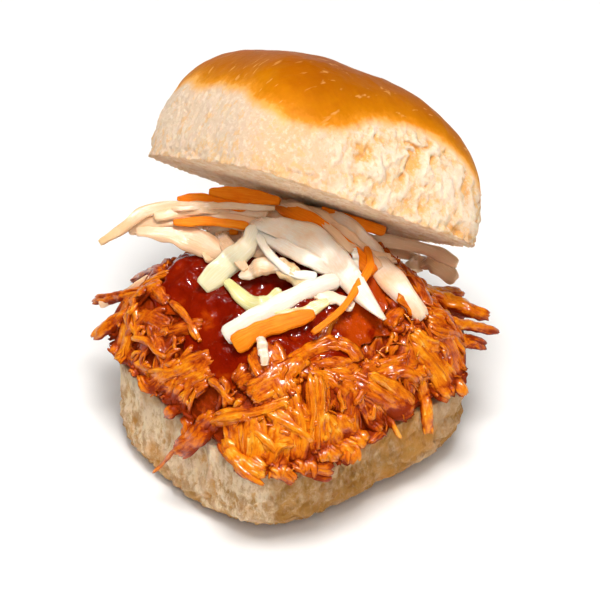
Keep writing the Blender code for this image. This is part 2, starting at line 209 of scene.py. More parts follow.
class Wire:
    # an output socket; arithmetic on it adds Math nodes
    def __init__(self, paint, socket):
        self.paint = paint
        self.socket = socket

    def maths(self, operation, first, second):
        return self.paint.add("ShaderNodeMath", {"operation": operation}, {0: first, 1: second})

    def __add__(self, other):
        return self.maths("ADD", self, other)

    def __radd__(self, other):
        return self.maths("ADD", other, self)

    def __sub__(self, other):
        return self.maths("SUBTRACT", self, other)

    def __rsub__(self, other):
        return self.maths("SUBTRACT", other, self)

    def __mul__(self, other):
        return self.maths("MULTIPLY", self, other)

    def __rmul__(self, other):
        return self.maths("MULTIPLY", other, self)


def setStops(ramp, stops):
    # a ramp's stops, each a place from 0 to 1 and its colour
    while len(ramp.elements) < len(stops):
        ramp.elements.new(1.0)
    for element, (place, colour) in zip(ramp.elements, stops):
        element.position = place
        element.color = (*colour, 1)


class Paint:
    # one material's node tree
    def __init__(self, name):
        self.material = bpy.data.materials.new(name)
        self.material.use_nodes = True
        self.tree = self.material.node_tree

    def add(self, kind, settings, sockets, output=0):
        # a node of a kind, its settings first, then the values or links of its sockets
        node = self.tree.nodes.new(kind)
        for key, value in settings.items():
            if key == "stops":
                setStops(node.color_ramp, value)
            else:
                setattr(node, key, value)
        for key, value in sockets.items():
            self.feed(node.inputs[key], value)
        return Wire(self, node.outputs[output])

    def feed(self, socket, value):
        if isinstance(value, Wire):
            self.tree.links.new(value.socket, socket)
        elif socket.type == "RGBA" and len(value) == 3:
            socket.default_value = (*value, 1)
        else:
            socket.default_value = value

    def finish(self, **values):
        # feeds the shader's own sockets, by name with _ for a space, and gives the material
        shader = self.tree.nodes["Principled BSDF"]
        for key, value in values.items():
            self.feed(shader.inputs[key.replace("_", " ")], value)
        return self.material

    def field(self, name):
        return self.add("ShaderNodeAttribute", {"attribute_name": name}, {}, "Fac")

    def place(self):
        return self.add("ShaderNodeTexCoord", {}, {}, "Object")

    def stretched(self, scale):
        return self.add("ShaderNodeMapping", {}, {"Vector": self.place(), "Scale": scale})

    def joined(self, x, y, z):
        return self.add("ShaderNodeCombineXYZ", {}, {"X": x, "Y": y, "Z": z})

    def noise(self, vector, scale, detail=3, roughness=0.5):
        sockets = {"Vector": vector, "Scale": scale, "Detail": detail, "Roughness": roughness}
        return self.add("ShaderNodeTexNoise", {}, sockets, "Fac")

    def between(self, value, low, high):
        # 0 at low, 1 at high, held outside them
        sockets = {"Value": value, "From Min": low, "From Max": high}
        return self.add("ShaderNodeMapRange", {"clamp": True}, sockets)

    def blend(self, share, first, second):
        # a colour between two others
        return self.add("ShaderNodeMix", {"data_type": "RGBA"}, {0: share, 6: first, 7: second}, 2)

    def layered(self, colour, *layers):
        # a colour with others laid over it in turn, each by its share
        for share, over in layers:
            colour = self.blend(share, colour, over)
        return colour

    def ramp(self, value, stops):
        return self.add("ShaderNodeValToRGB", {"stops": stops}, {"Fac": value}, "Color")

    def bump(self, height, distance, strength):
        sockets = {"Height": height, "Distance": distance, "Strength": strength}
        return self.add("ShaderNodeBump", {}, sockets, "Normal")


# The roll: what both halves share

roll = {
    "half": 35.2,  # half the side of the square roll
    "planPower": 4.8,  # superellipse power of its plan
    "around": 560,
    # torn crumb: the sizes of its parts in mm, and how deep each goes before the side's own depth
    "clumps": (5.0, 1.2),
    "tufts": (2.0, 0.8),
    "flakes": (2.6, 0.35),
    "pockets": (4.4, 1.1),
    "grain": (0.9, 0.2),
    "crumbPale": (0.85, 0.63, 0.42),
    "crumbWarm": (0.82, 0.54, 0.29),
    # painted shade in the holes of the torn crumb, and painted light on its tufts
    "crumbHoleShade": (0.87, 0.44, 0.14),
    "crumbTuftLight": (0.97, 0.76, 0.59),
    "glow": (0.004, 0.0026, 0.0016),  # how far light spreads in crumb, in metres of red, green and blue
}


def planOutline(angle, power):
    # unit superellipse: the direction divided by (|cos|^p + |sin|^p)^(1/p)
    x, y = np.cos(angle), np.sin(angle)
    reach = (np.abs(x) ** power + np.abs(y) ** power) ** (1 / power)
    return np.stack([x / reach, y / reach], axis=-1)


def alongSide(outline):
    # -1 to 1 along whichever side of the square a point is on, and that side's number
    x, y = outline[..., 0], outline[..., 1]
    onX = np.abs(x) > np.abs(y)
    side = np.where(onX, np.where(x > 0, 0, 2), np.where(y > 0, 1, 3))
    return np.where(onX, y, x), side


def rollNorm(x, y):
    # (|x|^p + |y|^p)^(1/p): half the side of the rounded square that a plan point is on
    power = roll["planPower"]
    return (np.abs(x) ** power + np.abs(y) ** power) ** (1 / power)


def tornRelief(points, seed):
    # torn crumb in mm, before its strength: the places are first shifted by slow noise, then clumps and
    # tufts (the size of noise), upright flakes (ridged noise) and ragged pockets are added together
    shift = np.stack([cloudNoise(points, 4.0, seed + k, 3) for k in (1, 2, 3)], axis=-1)
    warped = points + shift * 2.0

    def ridges(key, upright, offset):
        return np.abs(cloudNoise(warped * np.array([1, 1, upright]), roll[key][0], seed + offset, 2))

    pockets = smoothStep(0.6, 0.25, cellDistance(warped, roll["pockets"][0], seed + 12))
    pockets = pockets * smoothStep(0.0, 0.5, cloudNoise(points, 8.0, seed + 16, 2))
    grain = cloudNoise(points * np.array([1, 1, 0.5]), roll["grain"][0], seed + 20, 2)
    relief = ridges("clumps", 1, 8) * roll["clumps"][1] + ridges("tufts", 0.5, 10) * roll["tufts"][1]
    relief = relief + (1 - ridges("flakes", 0.4, 5) * 2) * roll["flakes"][1]
    return relief - pockets * roll["pockets"][1] + grain * roll["grain"][1] - 0.5


def holeShare(relief, torn):
    # how deep a place lies in the torn relief, from 0 to 1
    return np.clip((0.5 - relief * 0.6) * torn, 0, 1)


def crumbLook(paint, hole):
    # pale crumb, warmer in patches, darker and warmer in its holes as painted shade and whiter on its tufts
    # as painted light, with grain and threads for the bump
    patches = paint.noise(paint.place(), 260, 4, 0.6)
    specks = paint.noise(paint.stretched((1, 1, 0.6)), 1100, 4, 0.75)
    threads = paint.noise(paint.stretched((1, 1, 0.35)), 1500, 4, 0.65)
    warm = paint.between(patches * 0.6 + specks * 0.4, 0.42, 0.64)
    sunk = hole + (specks - 0.5) * 0.7
    colour = paint.layered(
        roll["crumbPale"],
        (warm * 0.75, roll["crumbWarm"]),
        (paint.between(sunk, 0.4, 0.02) * 0.8, roll["crumbTuftLight"]),
        (paint.between(sunk, 0.38, 0.75), roll["crumbHoleShade"]),
    )
    return colour, threads * 0.6 + specks * 0.4


# The upper half

crown = {
    "height": 34.9,
    "domePower": 2.6,
    "lean": (-1.5, -4.4),  # how far the dome's top has slumped
    "place": (-14.8, 16.9, 55.3),  # centre of its cut face
    "turn": -14.0,  # degrees about the vertical
    "tilt": 46.5,
    "tiltTowards": 119.3,
    "underRows": 44,
    "domeRows": 134,
    # how far up the rise each side stays pale: at its first corner, where it starts to climb and where
    # it is highest, at its middle and at its last corner, for the sides +X, +Y, -X and -Y
    "arch": (
        (0.4, -0.85, 0.2, 0.7, 0.42),
        (0.45, -1.0, -0.3, 0.62, 0.42),
        (0.42, -1.05, -0.3, 0.6, 0.45),
        (0.42, -1.05, -0.35, 0.59, 0.4),
    ),
    "tornDepth": (0.8, 0.8, 0.8, 0.3),  # mm for each side; the one that faces the left is the smoothest
    "wobble": ((9.0, 5, 2, 0.045), (1.6, 9, 2, 0.006)),  # of the arch, as noises whose height is a share
    "dimples": ((9.0, 51, 2, 0.35), (2.5, 55, 2, 0.06)),
    "cutBumps": (3.0, 0.9),  # size and height
    "raggedRim": (2.2, 0.9),
    "skinTone": (0.71, 0.4, 0.19),  # the smooth skin at the near corner
    # the crumb of the side that faces the left, darkened as painted shade
    "leftShadeTone": (0.76, 0.56, 0.39),
    "speckTone": (0.98, 0.8, 0.64),
    "pitTone": (0.88, 0.5, 0.18),
    "cutTones": ((0.93, 0.74, 0.54), (0.78, 0.5, 0.27)),
    "fleckTone": (0.9, 0.5, 0.16),  # small scratches in the crust
    # the crust, from the edge of the pale sides to the top of the dome
    "bakeTones": (
        (0.0, (0.84, 0.38, 0.075)),
        (0.07, (0.72, 0.25, 0.012)),
        (0.2, (0.57, 0.178, 0.001)),
        (0.48, (0.44, 0.12, 0.0004)),
        (1.0, (0.32, 0.07, 0.0002)),
    ),
}


def crownMatrix():
    # turned about the vertical, then tipped about the level line across the tilt (Rodrigues' formula)
    turn, tilt, towards = (math.radians(crown[key]) for key in ("turn", "tilt", "tiltTowards"))
    hinge = np.array([-math.sin(towards), math.cos(towards), 0])
    skew = np.array([[0, -hinge[2], hinge[1]], [hinge[2], 0, -hinge[0]], [-hinge[1], hinge[0], 0]])
    tipped = np.eye(3) + math.sin(tilt) * skew + (1 - math.cos(tilt)) * skew @ skew
    cosine, sine = math.cos(turn), math.sin(turn)
    return tipped @ np.array([[cosine, -sine, 0], [sine, cosine, 0], [0, 0, 1]])


def lidUnderside(x, y):
    # height of the tipped cut face over a plan point
    normal = crownMatrix()[:, 2]
    level = normal[0] * (x - crown["place"][0]) + normal[1] * (y - crown["place"][1])
    return crown["place"][2] - level / normal[2]


def domeRows(under, phi, power):
    # rows on a flat base and then over a dome: reach = cos(phi)^(2/q) and rise = sin(phi)^(2/q)
    reach = np.concatenate([under, np.cos(phi) ** (2 / power)])[:, None]
    return reach, np.concatenate([under * 0, np.sin(phi) ** (2 / power)])[:, None]


def archHeight(outline):
    # the pale patch's top on each side: climbs by a smooth step from the first corner, and falls with the
    # square of the distance to the last one
    along, side = alongSide(outline)
    first, low, high, middle, last = np.array(crown["arch"])[side].T
    climb = smoothStep(low, high, along)
    corner = 2 ** (-1 / roll["planPower"])  # how far along its side a corner of the outline is
    fall = np.clip((along - 0.3) / (corner - 0.3), 0, 1) ** 2
    return first + (middle - first) * climb - (middle - last) * fall


def makeCrown():
    # rings from the middle of the cut face out to its edge, up the sides and over the dome
    outline = planOutline(ringAngles(roll["around"]), roll["planPower"])
    side = alongSide(outline)[1]
    outward = unit(raised(outline, 0.0))
    under = np.linspace(0.02, 0.985, crown["underRows"])
    phi = np.linspace(0.004, 1, crown["domeRows"]) ** 1.25 * math.pi / 2 * 0.985
    reach, rise = domeRows(under, phi, crown["domePower"])
    plan = outline * reach[..., None] * roll["half"] + np.array(crown["lean"]) * (rise**2)[..., None]
    points = raised(plan, rise * crown["height"])

    # the pale sides end at a wavering line, below which they are torn, but for the near corner's skin
    arch = archHeight(outline) + noiseSum(points, crown["wobble"])
    isSide = smoothStep(0.0, 0.01, rise)
    torn = isSide * smoothStep(0.015, -0.085, rise - arch)
    skin = smoothStep(0.55, 0.95, (outline[:, 0] - outline[:, 1]) / 2 - 0.05)
    relief = tornRelief(points, 3)
    tornPart = torn * np.array(crown["tornDepth"])[side] * (1 - 0.8 * skin)
    dimple = noiseSum(points, crown["dimples"])
    push = np.minimum(tornPart * (relief - 0.5) + dimple * isSide - 0.25, 0.2)
    points = points + outward * push[..., None]

    # the cut face has a ragged rim and small bumps
    nearRim = smoothStep(0.9, 1.0, reach) * smoothStep(0.16, 0.0, rise)
    size, depth = crown["raggedRim"]
    ragged = np.abs(cloudNoise(points, size, 71, 3)) * nearRim
    points = points - outward * (ragged * depth)[..., None]
    points[..., 2] += ragged * 0.5
    size, high = crown["cutBumps"]
    underBumps = (1 - isSide) * (np.abs(cloudNoise(points, size, 61, 3)) * high + 0.1)
    points[..., 2] += underBumps - isSide * (0.2 + np.abs(dimple)) * rise

    bake = np.clip((rise - arch) / (1 - arch), 0, 1) * (1.08 - 0.16 * points[..., 0] / roll["half"])
    points = points @ crownMatrix().T + np.array(crown["place"])
    fields = {
        "bake": bake,
        "torn": np.maximum(torn, 1 - isSide),
        "hole": holeShare(relief, tornPart),
        "skin": skin * torn,
        "cut": 1 - isSide,
        "low": smoothStep(0.3, 0.0, rise),
        # the side that faces the left, whose crumb is darkened as painted shade
        "left": (side == 3) * smoothStep(0.95, 0.5, outline[:, 0]),
    }
    return tubeMesh("upperHalf", points[None], fields)


def crownMaterial():
    paint = Paint("goldenCrust")
    here = paint.place()
    torn = paint.field("torn")
    crumb, grain = crumbLook(paint, paint.field("hole"))
    pitNoise = paint.noise(paint.stretched((1, 1, 0.7)), 430, 3, 0.65)
    pits = paint.between(pitNoise + paint.field("low") * 0.08, 0.56, 0.66)
    cutCloud = paint.between(paint.noise(here, 330, 3, 0.6), 0.35, 0.65)
    crumb = paint.layered(
        crumb,
        (paint.field("skin") * 0.9, crown["skinTone"]),
        # painted shade on the side that faces the left
        (paint.field("left") * 0.75, crown["leftShadeTone"]),
        (paint.between(paint.noise(here, 700, 3, 0.7), 0.5, 0.64) * 0.5, crown["speckTone"]),
        (pits * 0.55, crown["pitTone"]),
        (paint.field("cut") * 0.85, paint.blend(cutCloud, *crown["cutTones"])),
    )
    mottle = paint.noise(here, 95, 4, 0.6)
    fine = paint.noise(here, 620, 3, 0.6)
    depth = paint.field("bake") + (mottle - 0.5) * 0.42 + (fine - 0.5) * 0.2
    scratches = paint.noise(paint.stretched((1, 0.22, 1)), 560, 2, 0.5)
    flecks = paint.between(scratches + (mottle - 0.5) * 0.3, 0.66, 0.74)
    crust = paint.blend(flecks * 0.4, paint.ramp(depth, crown["bakeTones"]), crown["fleckTone"])
    crustBump = paint.bump(paint.noise(here, 330, 5, 0.62) * 0.7 + fine * 0.3, 0.0004, 0.5)
    bumps = {0: torn, 4: crustBump, 5: paint.bump(grain, 0.001, 0.8)}
    return paint.finish(
        Base_Color=paint.blend(torn, crust, crumb),
        Roughness=0.45 + torn * 0.5 + (fine - 0.5) * 0.1,
        Specular_IOR_Level=0.04,
        Normal=paint.add("ShaderNodeMix", {"data_type": "VECTOR"}, bumps, 1),
        Subsurface_Weight=0.5,
        Subsurface_Radius=roll["glow"],
    )


# The lower half

heel = {
    "height": 23.8,
    "footPower": 4.6,
    "footPowerLeft": 8.0,  # at the left, where the foot is nearly square
    "spread": (6.0, -5.0),  # how far the soft foot has spread at its left corner
    "leftFull": 0.6,  # share of the half side towards -Y where what is said of the left is full
    "leftFades": 0.9,  # share towards +X where it has faded to nothing
    "baseRows": 24,
    "sideRows": 96,
    "topRows": 30,
    "tornDepth": (1.3, 1.1, 1.1, 0.9),
    "bulges": ((11.0, 81, 2, 0.5),),  # noises of the sides, of the cut, and of where the base crust ends
    "cutBumps": ((2.2, 91, 2, 0.3),),
    "crustEdge": ((5.0, 95, 3, 2.4),),
    "bakedFoot": 5.5,  # the base crust's colour reaches this high
    # brown mottling of the crumb, laid on thicker towards the foot and thinner on the left face as painted
    # shade
    "brownMottleAndShadeTone": (0.42, 0.205, 0.05),
    "tuftTone": (0.96, 0.78, 0.53),
    "smearTone": (0.62, 0.27, 0.05),
    "footTones": ((0.0, (0.7, 0.48, 0.24)), (0.5, (0.58, 0.34, 0.12)), (1.0, (0.4, 0.18, 0.04))),
}


def makeHeel():
    # rings from the middle of the foot out round its edge, up the side and in over the cut:
    # reach = cos(phi)^(2/q) and drop = sin(phi)^(2/q) of the height below the cut
    outline = planOutline(ringAngles(roll["around"]), roll["planPower"])
    outward = unit(raised(outline, 0.0))
    phi = np.linspace(1, 0, heel["sideRows"])[:, None] ** 0.9 * math.radians(76)
    left = np.clip(-outline[:, 1] / heel["leftFull"], 0, 1)
    left = left * np.clip(1 - outline[:, 0] / heel["leftFades"], 0, 1)
    root = 2 / (heel["footPower"] + left * (heel["footPowerLeft"] - heel["footPower"]))
    foot = np.cos(phi[0]) ** root
    base = np.linspace(0.02, 0.97, heel["baseRows"])[:, None] * foot
    top = np.linspace(0.985, 0.03, heel["topRows"])[:, None] * np.ones_like(foot)
    reach = np.concatenate([base, np.cos(phi) ** root, top])
    drop = np.sin(phi) ** root
    rise = np.concatenate([base * 0, 1 - drop / drop[:1], top * 0 + 1])
    spread = np.array(heel["spread"]) * (left * reach * (1 - rise) ** 2)[..., None]
    height = rise * heel["height"]
    points = raised(outline * reach[..., None] * roll["half"] + spread, height)

    isSide = smoothStep(0.0, 0.12, rise) * smoothStep(1.0, 0.985, rise)
    onTop = smoothStep(0.985, 1.0, rise)
    relief = tornRelief(points, 73)
    depth = np.array(heel["tornDepth"])[alongSide(outline)[1]]
    push = isSide * depth * (relief - 0.5) + noiseSum(points, heel["bulges"]) * isSide
    points = points + outward * np.minimum(push - 0.2, 0.35)[..., None]
    points[..., 2] += onTop * (noiseSum(points, heel["cutBumps"]) - 0.25)

    level = height + noiseSum(points, heel["crustEdge"])
    fields = {
        "bake": smoothStep(heel["bakedFoot"], heel["bakedFoot"] * 0.3, level),
        "hole": holeShare(relief, isSide),
        # low and left steer the crumb's colour: darker towards the foot as painted shade, lighter on the left
        # face as painted light; low also places the sauce smears
        "low": 1 - rise,
        "left": smoothStep(-0.15, 0.15, -(outline[:, 1] + outline[:, 0])),
    }
    return tubeMesh("lowerHalf", points[None], fields)


def heelMaterial():
    paint = Paint("paleCrumb")
    here = paint.place()
    bake, left, low = paint.field("bake"), paint.field("left"), paint.field("low")
    crumb, grain = crumbLook(paint, paint.field("hole"))
    mottle = paint.noise(here, 160, 4, 0.6) - 0.5
    # painted shade: the brown mottle grows towards the foot and is thinner on the left face
    brownMottleAndShade = paint.between(paint.noise(here, 110, 5, 0.7) + low * 0.14, 0.46, 0.62)
    tufts = paint.noise(paint.stretched((1, 1, 0.55)), 480, 4, 0.7)
    # pale tufts, more of them on the left face and fewer towards the foot as painted light
    pale = paint.between(tufts + left * 0.07 - low * 0.11, 0.45, 0.6)
    smear = paint.between(paint.noise(here, 80, 4, 0.65) - low * 0.12, 0.48, 0.6)
    crumb = paint.layered(
        crumb,
        (0.66 + brownMottleAndShade * 0.34 - left * 0.24, heel["brownMottleAndShadeTone"]),
        (pale * (0.22 + left * 0.46), heel["tuftTone"]),
        (smear * 0.5, heel["smearTone"]),
    )
    share = paint.between(bake + mottle * 0.6, 0.1, 0.7)
    return paint.finish(
        Base_Color=paint.blend(share, crumb, paint.ramp(bake + mottle * 0.5, heel["footTones"])),
        Roughness=0.88 - share * 0.3,
        Specular_IOR_Level=0.15,
        Normal=paint.bump(grain, 0.001, 0.7),
        Subsurface_Weight=0.5,
        Subsurface_Radius=roll["glow"],
    )


# The pile of chicken: its bare form, and what lies on it

heap = {
    "floor": 24.3,
    "half": 35.2,
    "outlinePower": 4.4,
    "domePower": 1.95,
    "height": 25.0,
    "peak": (-6.0, 7.0),
    "shoulder": (-27.0, -15.0, 5.0, 8.5),  # a knot of meat at the left: its middle, height and reach
    "lumps": ((9.0, 101, 2, 1.7),),  # knots of meat all over
    "lumpsLift": 0.1,
    "rim": 1.9,  # shreds cross the heel's edge this high above the cut
    "hangFrom": 37.0,  # half side of the outline where they begin to hang
    "moundRows": 150,
    "moundAround": 400,
    "moundIn": 0.4,  # mm by which the pile's own skin stays inside its outline
    "moundFibres": (2.4, 0.7),  # size and height of the fibres in it
}


def heapShare(x, y):
    # 0 at the peak and 1 at the outline, from share = |p - peak (1 - share)| in the superellipse's norm
    share = np.zeros(np.broadcast(x, y).shape)
    power = heap["outlinePower"]
    for _ in range(12):
        keep = 1 - np.minimum(share, 1)
        across = np.abs(x - heap["peak"][0] * keep)
        along = np.abs(y - heap["peak"][1] * keep)
        share = (across**power + along**power) ** (1 / power) / heap["half"]
    return share


def heapTop(x, y):
    # floor + height (1 - share^q)^(1/q), and the left shoulder: rise exp(-(distance / reach)^2) less
    # share^6 of it
    share = np.minimum(heapShare(x, y), 1)
    middleX, middleY, rise, reach = heap["shoulder"]
    knot = rise * np.exp(-((x - middleX) ** 2 + (y - middleY) ** 2) / reach**2) * (1 - share**6)
    dome = (1 - share ** heap["domePower"]) ** (1 / heap["domePower"])
    return heap["floor"] + heap["height"] * dome + knot


def lumps(x, y):
    # knots of meat, by noise over the plan
    return noiseSum(np.stack(np.broadcast_arrays(x, y, 0.0), axis=-1), heap["lumps"]) + heap["lumpsLift"]


def drape(x, y, slope):
    # what a shred lies on: the lumpy pile, level across the rim of the heel, then down at a slope
    rim = heap["floor"] + heap["rim"]
    beyond = np.maximum(rollNorm(x, y) - heap["hangFrom"], 0)
    return np.maximum(heapTop(x, y) + lumps(x, y), rim) - beyond * slope


def surfaceNormal(surface, x, y):
    # (-dz/dx, -dz/dy, 1) made one long, from differences over 0.6 mm
    step = 0.6
    slopeX = (surface(x + step, y) - surface(x - step, y)) / (2 * step)
    slopeY = (surface(x, y + step) - surface(x, y - step)) / (2 * step)
    return unit(np.stack([-slopeX, -slopeY, np.ones_like(slopeX)], axis=-1))


pool = {
    "centre": (-1.8, -4.4),
    "long": 31.0,
    "short": 22.5,
    "turn": 32.0,
    "lobes": ((2, 1.2, 4.5), (3, 1.6, 6.0), (5, 1.4, 4.0), (7, 0.8, 1.0)),  # waves, depth in mm, phase
    "scallops": ((11, 0.05, 1.0), (23, 0.03, 0.0)),  # the same, with depths as shares
    "depth": 1.3,
    "ripples": ((5.5, 131, 3, 0.95), (1.8, 137, 2, 0.15)),
    "rows": 110,
    "around": 300,
    "tones": (  # from thin to thick
        (0.0, (0.42, 0.045, 0.001)),
        (0.22, (0.23, 0.009, 0.0002)),
        (0.6, (0.17, 0.005, 0.0003)),
        (1.0, (0.11, 0.0025, 0.0002)),
    ),
}


def waves(angle, table):
    # sum of depth sin(count angle + phase)
    return sum(depth * np.sin(count * angle + phase) for count, depth, phase in table)


def poolEdge(angle):
    # 1 on the plain oval, with a few waves round it
    return 1 + waves(angle, pool["lobes"]) / pool["short"]


def poolShare(x, y):
    # 0 at the pool's middle and 1 at its edge
    turn = math.radians(pool["turn"])
    awayX, awayY = x - pool["centre"][0], y - pool["centre"][1]
    along = (awayX * math.cos(turn) + awayY * math.sin(turn)) / pool["long"]
    across = (awayY * math.cos(turn) - awayX * math.sin(turn)) / pool["short"]
    return np.hypot(along, across) / poolEdge(np.arctan2(across, along))


# how far things stay clear, in mm: of the solids' own box, of the heel's side and of the tipped half
gaps = {"box": 0.15, "heel": 0.5, "mound": 0.5, "strand": 1.4, "sauce": 0.8, "strip": 1.3, "stripEdge": 0.4}


def insideBox(points):
    # points past the solids' own box are brought back into it
    return np.clip(points, cadLowMm + gaps["box"], cadHighMm - gaps["box"])


def belowLid(points, gap):
    # lowers points that would touch the tipped half
    top = lidUnderside(points[..., 0], points[..., 1]) - gap
    return raised(points[..., :2], np.minimum(points[..., 2], top))


def outsideHeel(points, reach):
    # pushes points below the cut clear of the heel's side
    norm = rollNorm(points[..., 0], points[..., 1])
    least = roll["half"] + gaps["heel"] + reach
    low = points[..., 2] < heap["floor"] + reach
    scale = np.where(low & (norm < least), least / np.maximum(norm, 1), 1.0)
    return raised(points[..., :2] * scale[..., None], points[..., 2])


def moundRings():
    # the pile's own skin: rings out from the middle of its floor and up over the dome, roughened into
    # fibres by ridged noise
    outline = planOutline(ringAngles(heap["moundAround"]), heap["outlinePower"])
    phi = np.linspace(0.01, 0.99, heap["moundRows"]) * math.pi / 2
    reach, rise = domeRows(np.linspace(0.05, 0.97, 10), phi, heap["domePower"])
    plan = outline * (reach * (heap["half"] - heap["moundIn"]))[..., None]
    plan = plan + np.array(heap["peak"]) * (1 - reach)[..., None]
    x, y = plan[..., 0], plan[..., 1]
    climb = smoothStep(0.0, 0.2, rise)
    points = raised(plan, np.where(rise > 0, heapTop(x, y), heap["floor"]) + climb * (lumps(x, y) - 0.9))
    turned = points @ np.array([[0.8, 0.6, 0], [-0.6, 0.8, 0], [0, 0, 1]])
    size, rough = heap["moundFibres"]
    ridges = 1 - np.abs(cloudNoise(turned * np.array([0.35, 1, 1]), size, 111, 3)) * 2
    points[..., 2] += climb * ridges * rough
    fields = {
        "tone": 0.2,
        # darker in the grooves between the fibres, as painted shade
        "cavity": np.clip(1 - ridges, 0, 1),
        "along": turned[..., 0] / fibre["along"],
        "round": turned[..., 1] / 2,
    }
    return belowLid(points, gaps["mound"])[None], fields


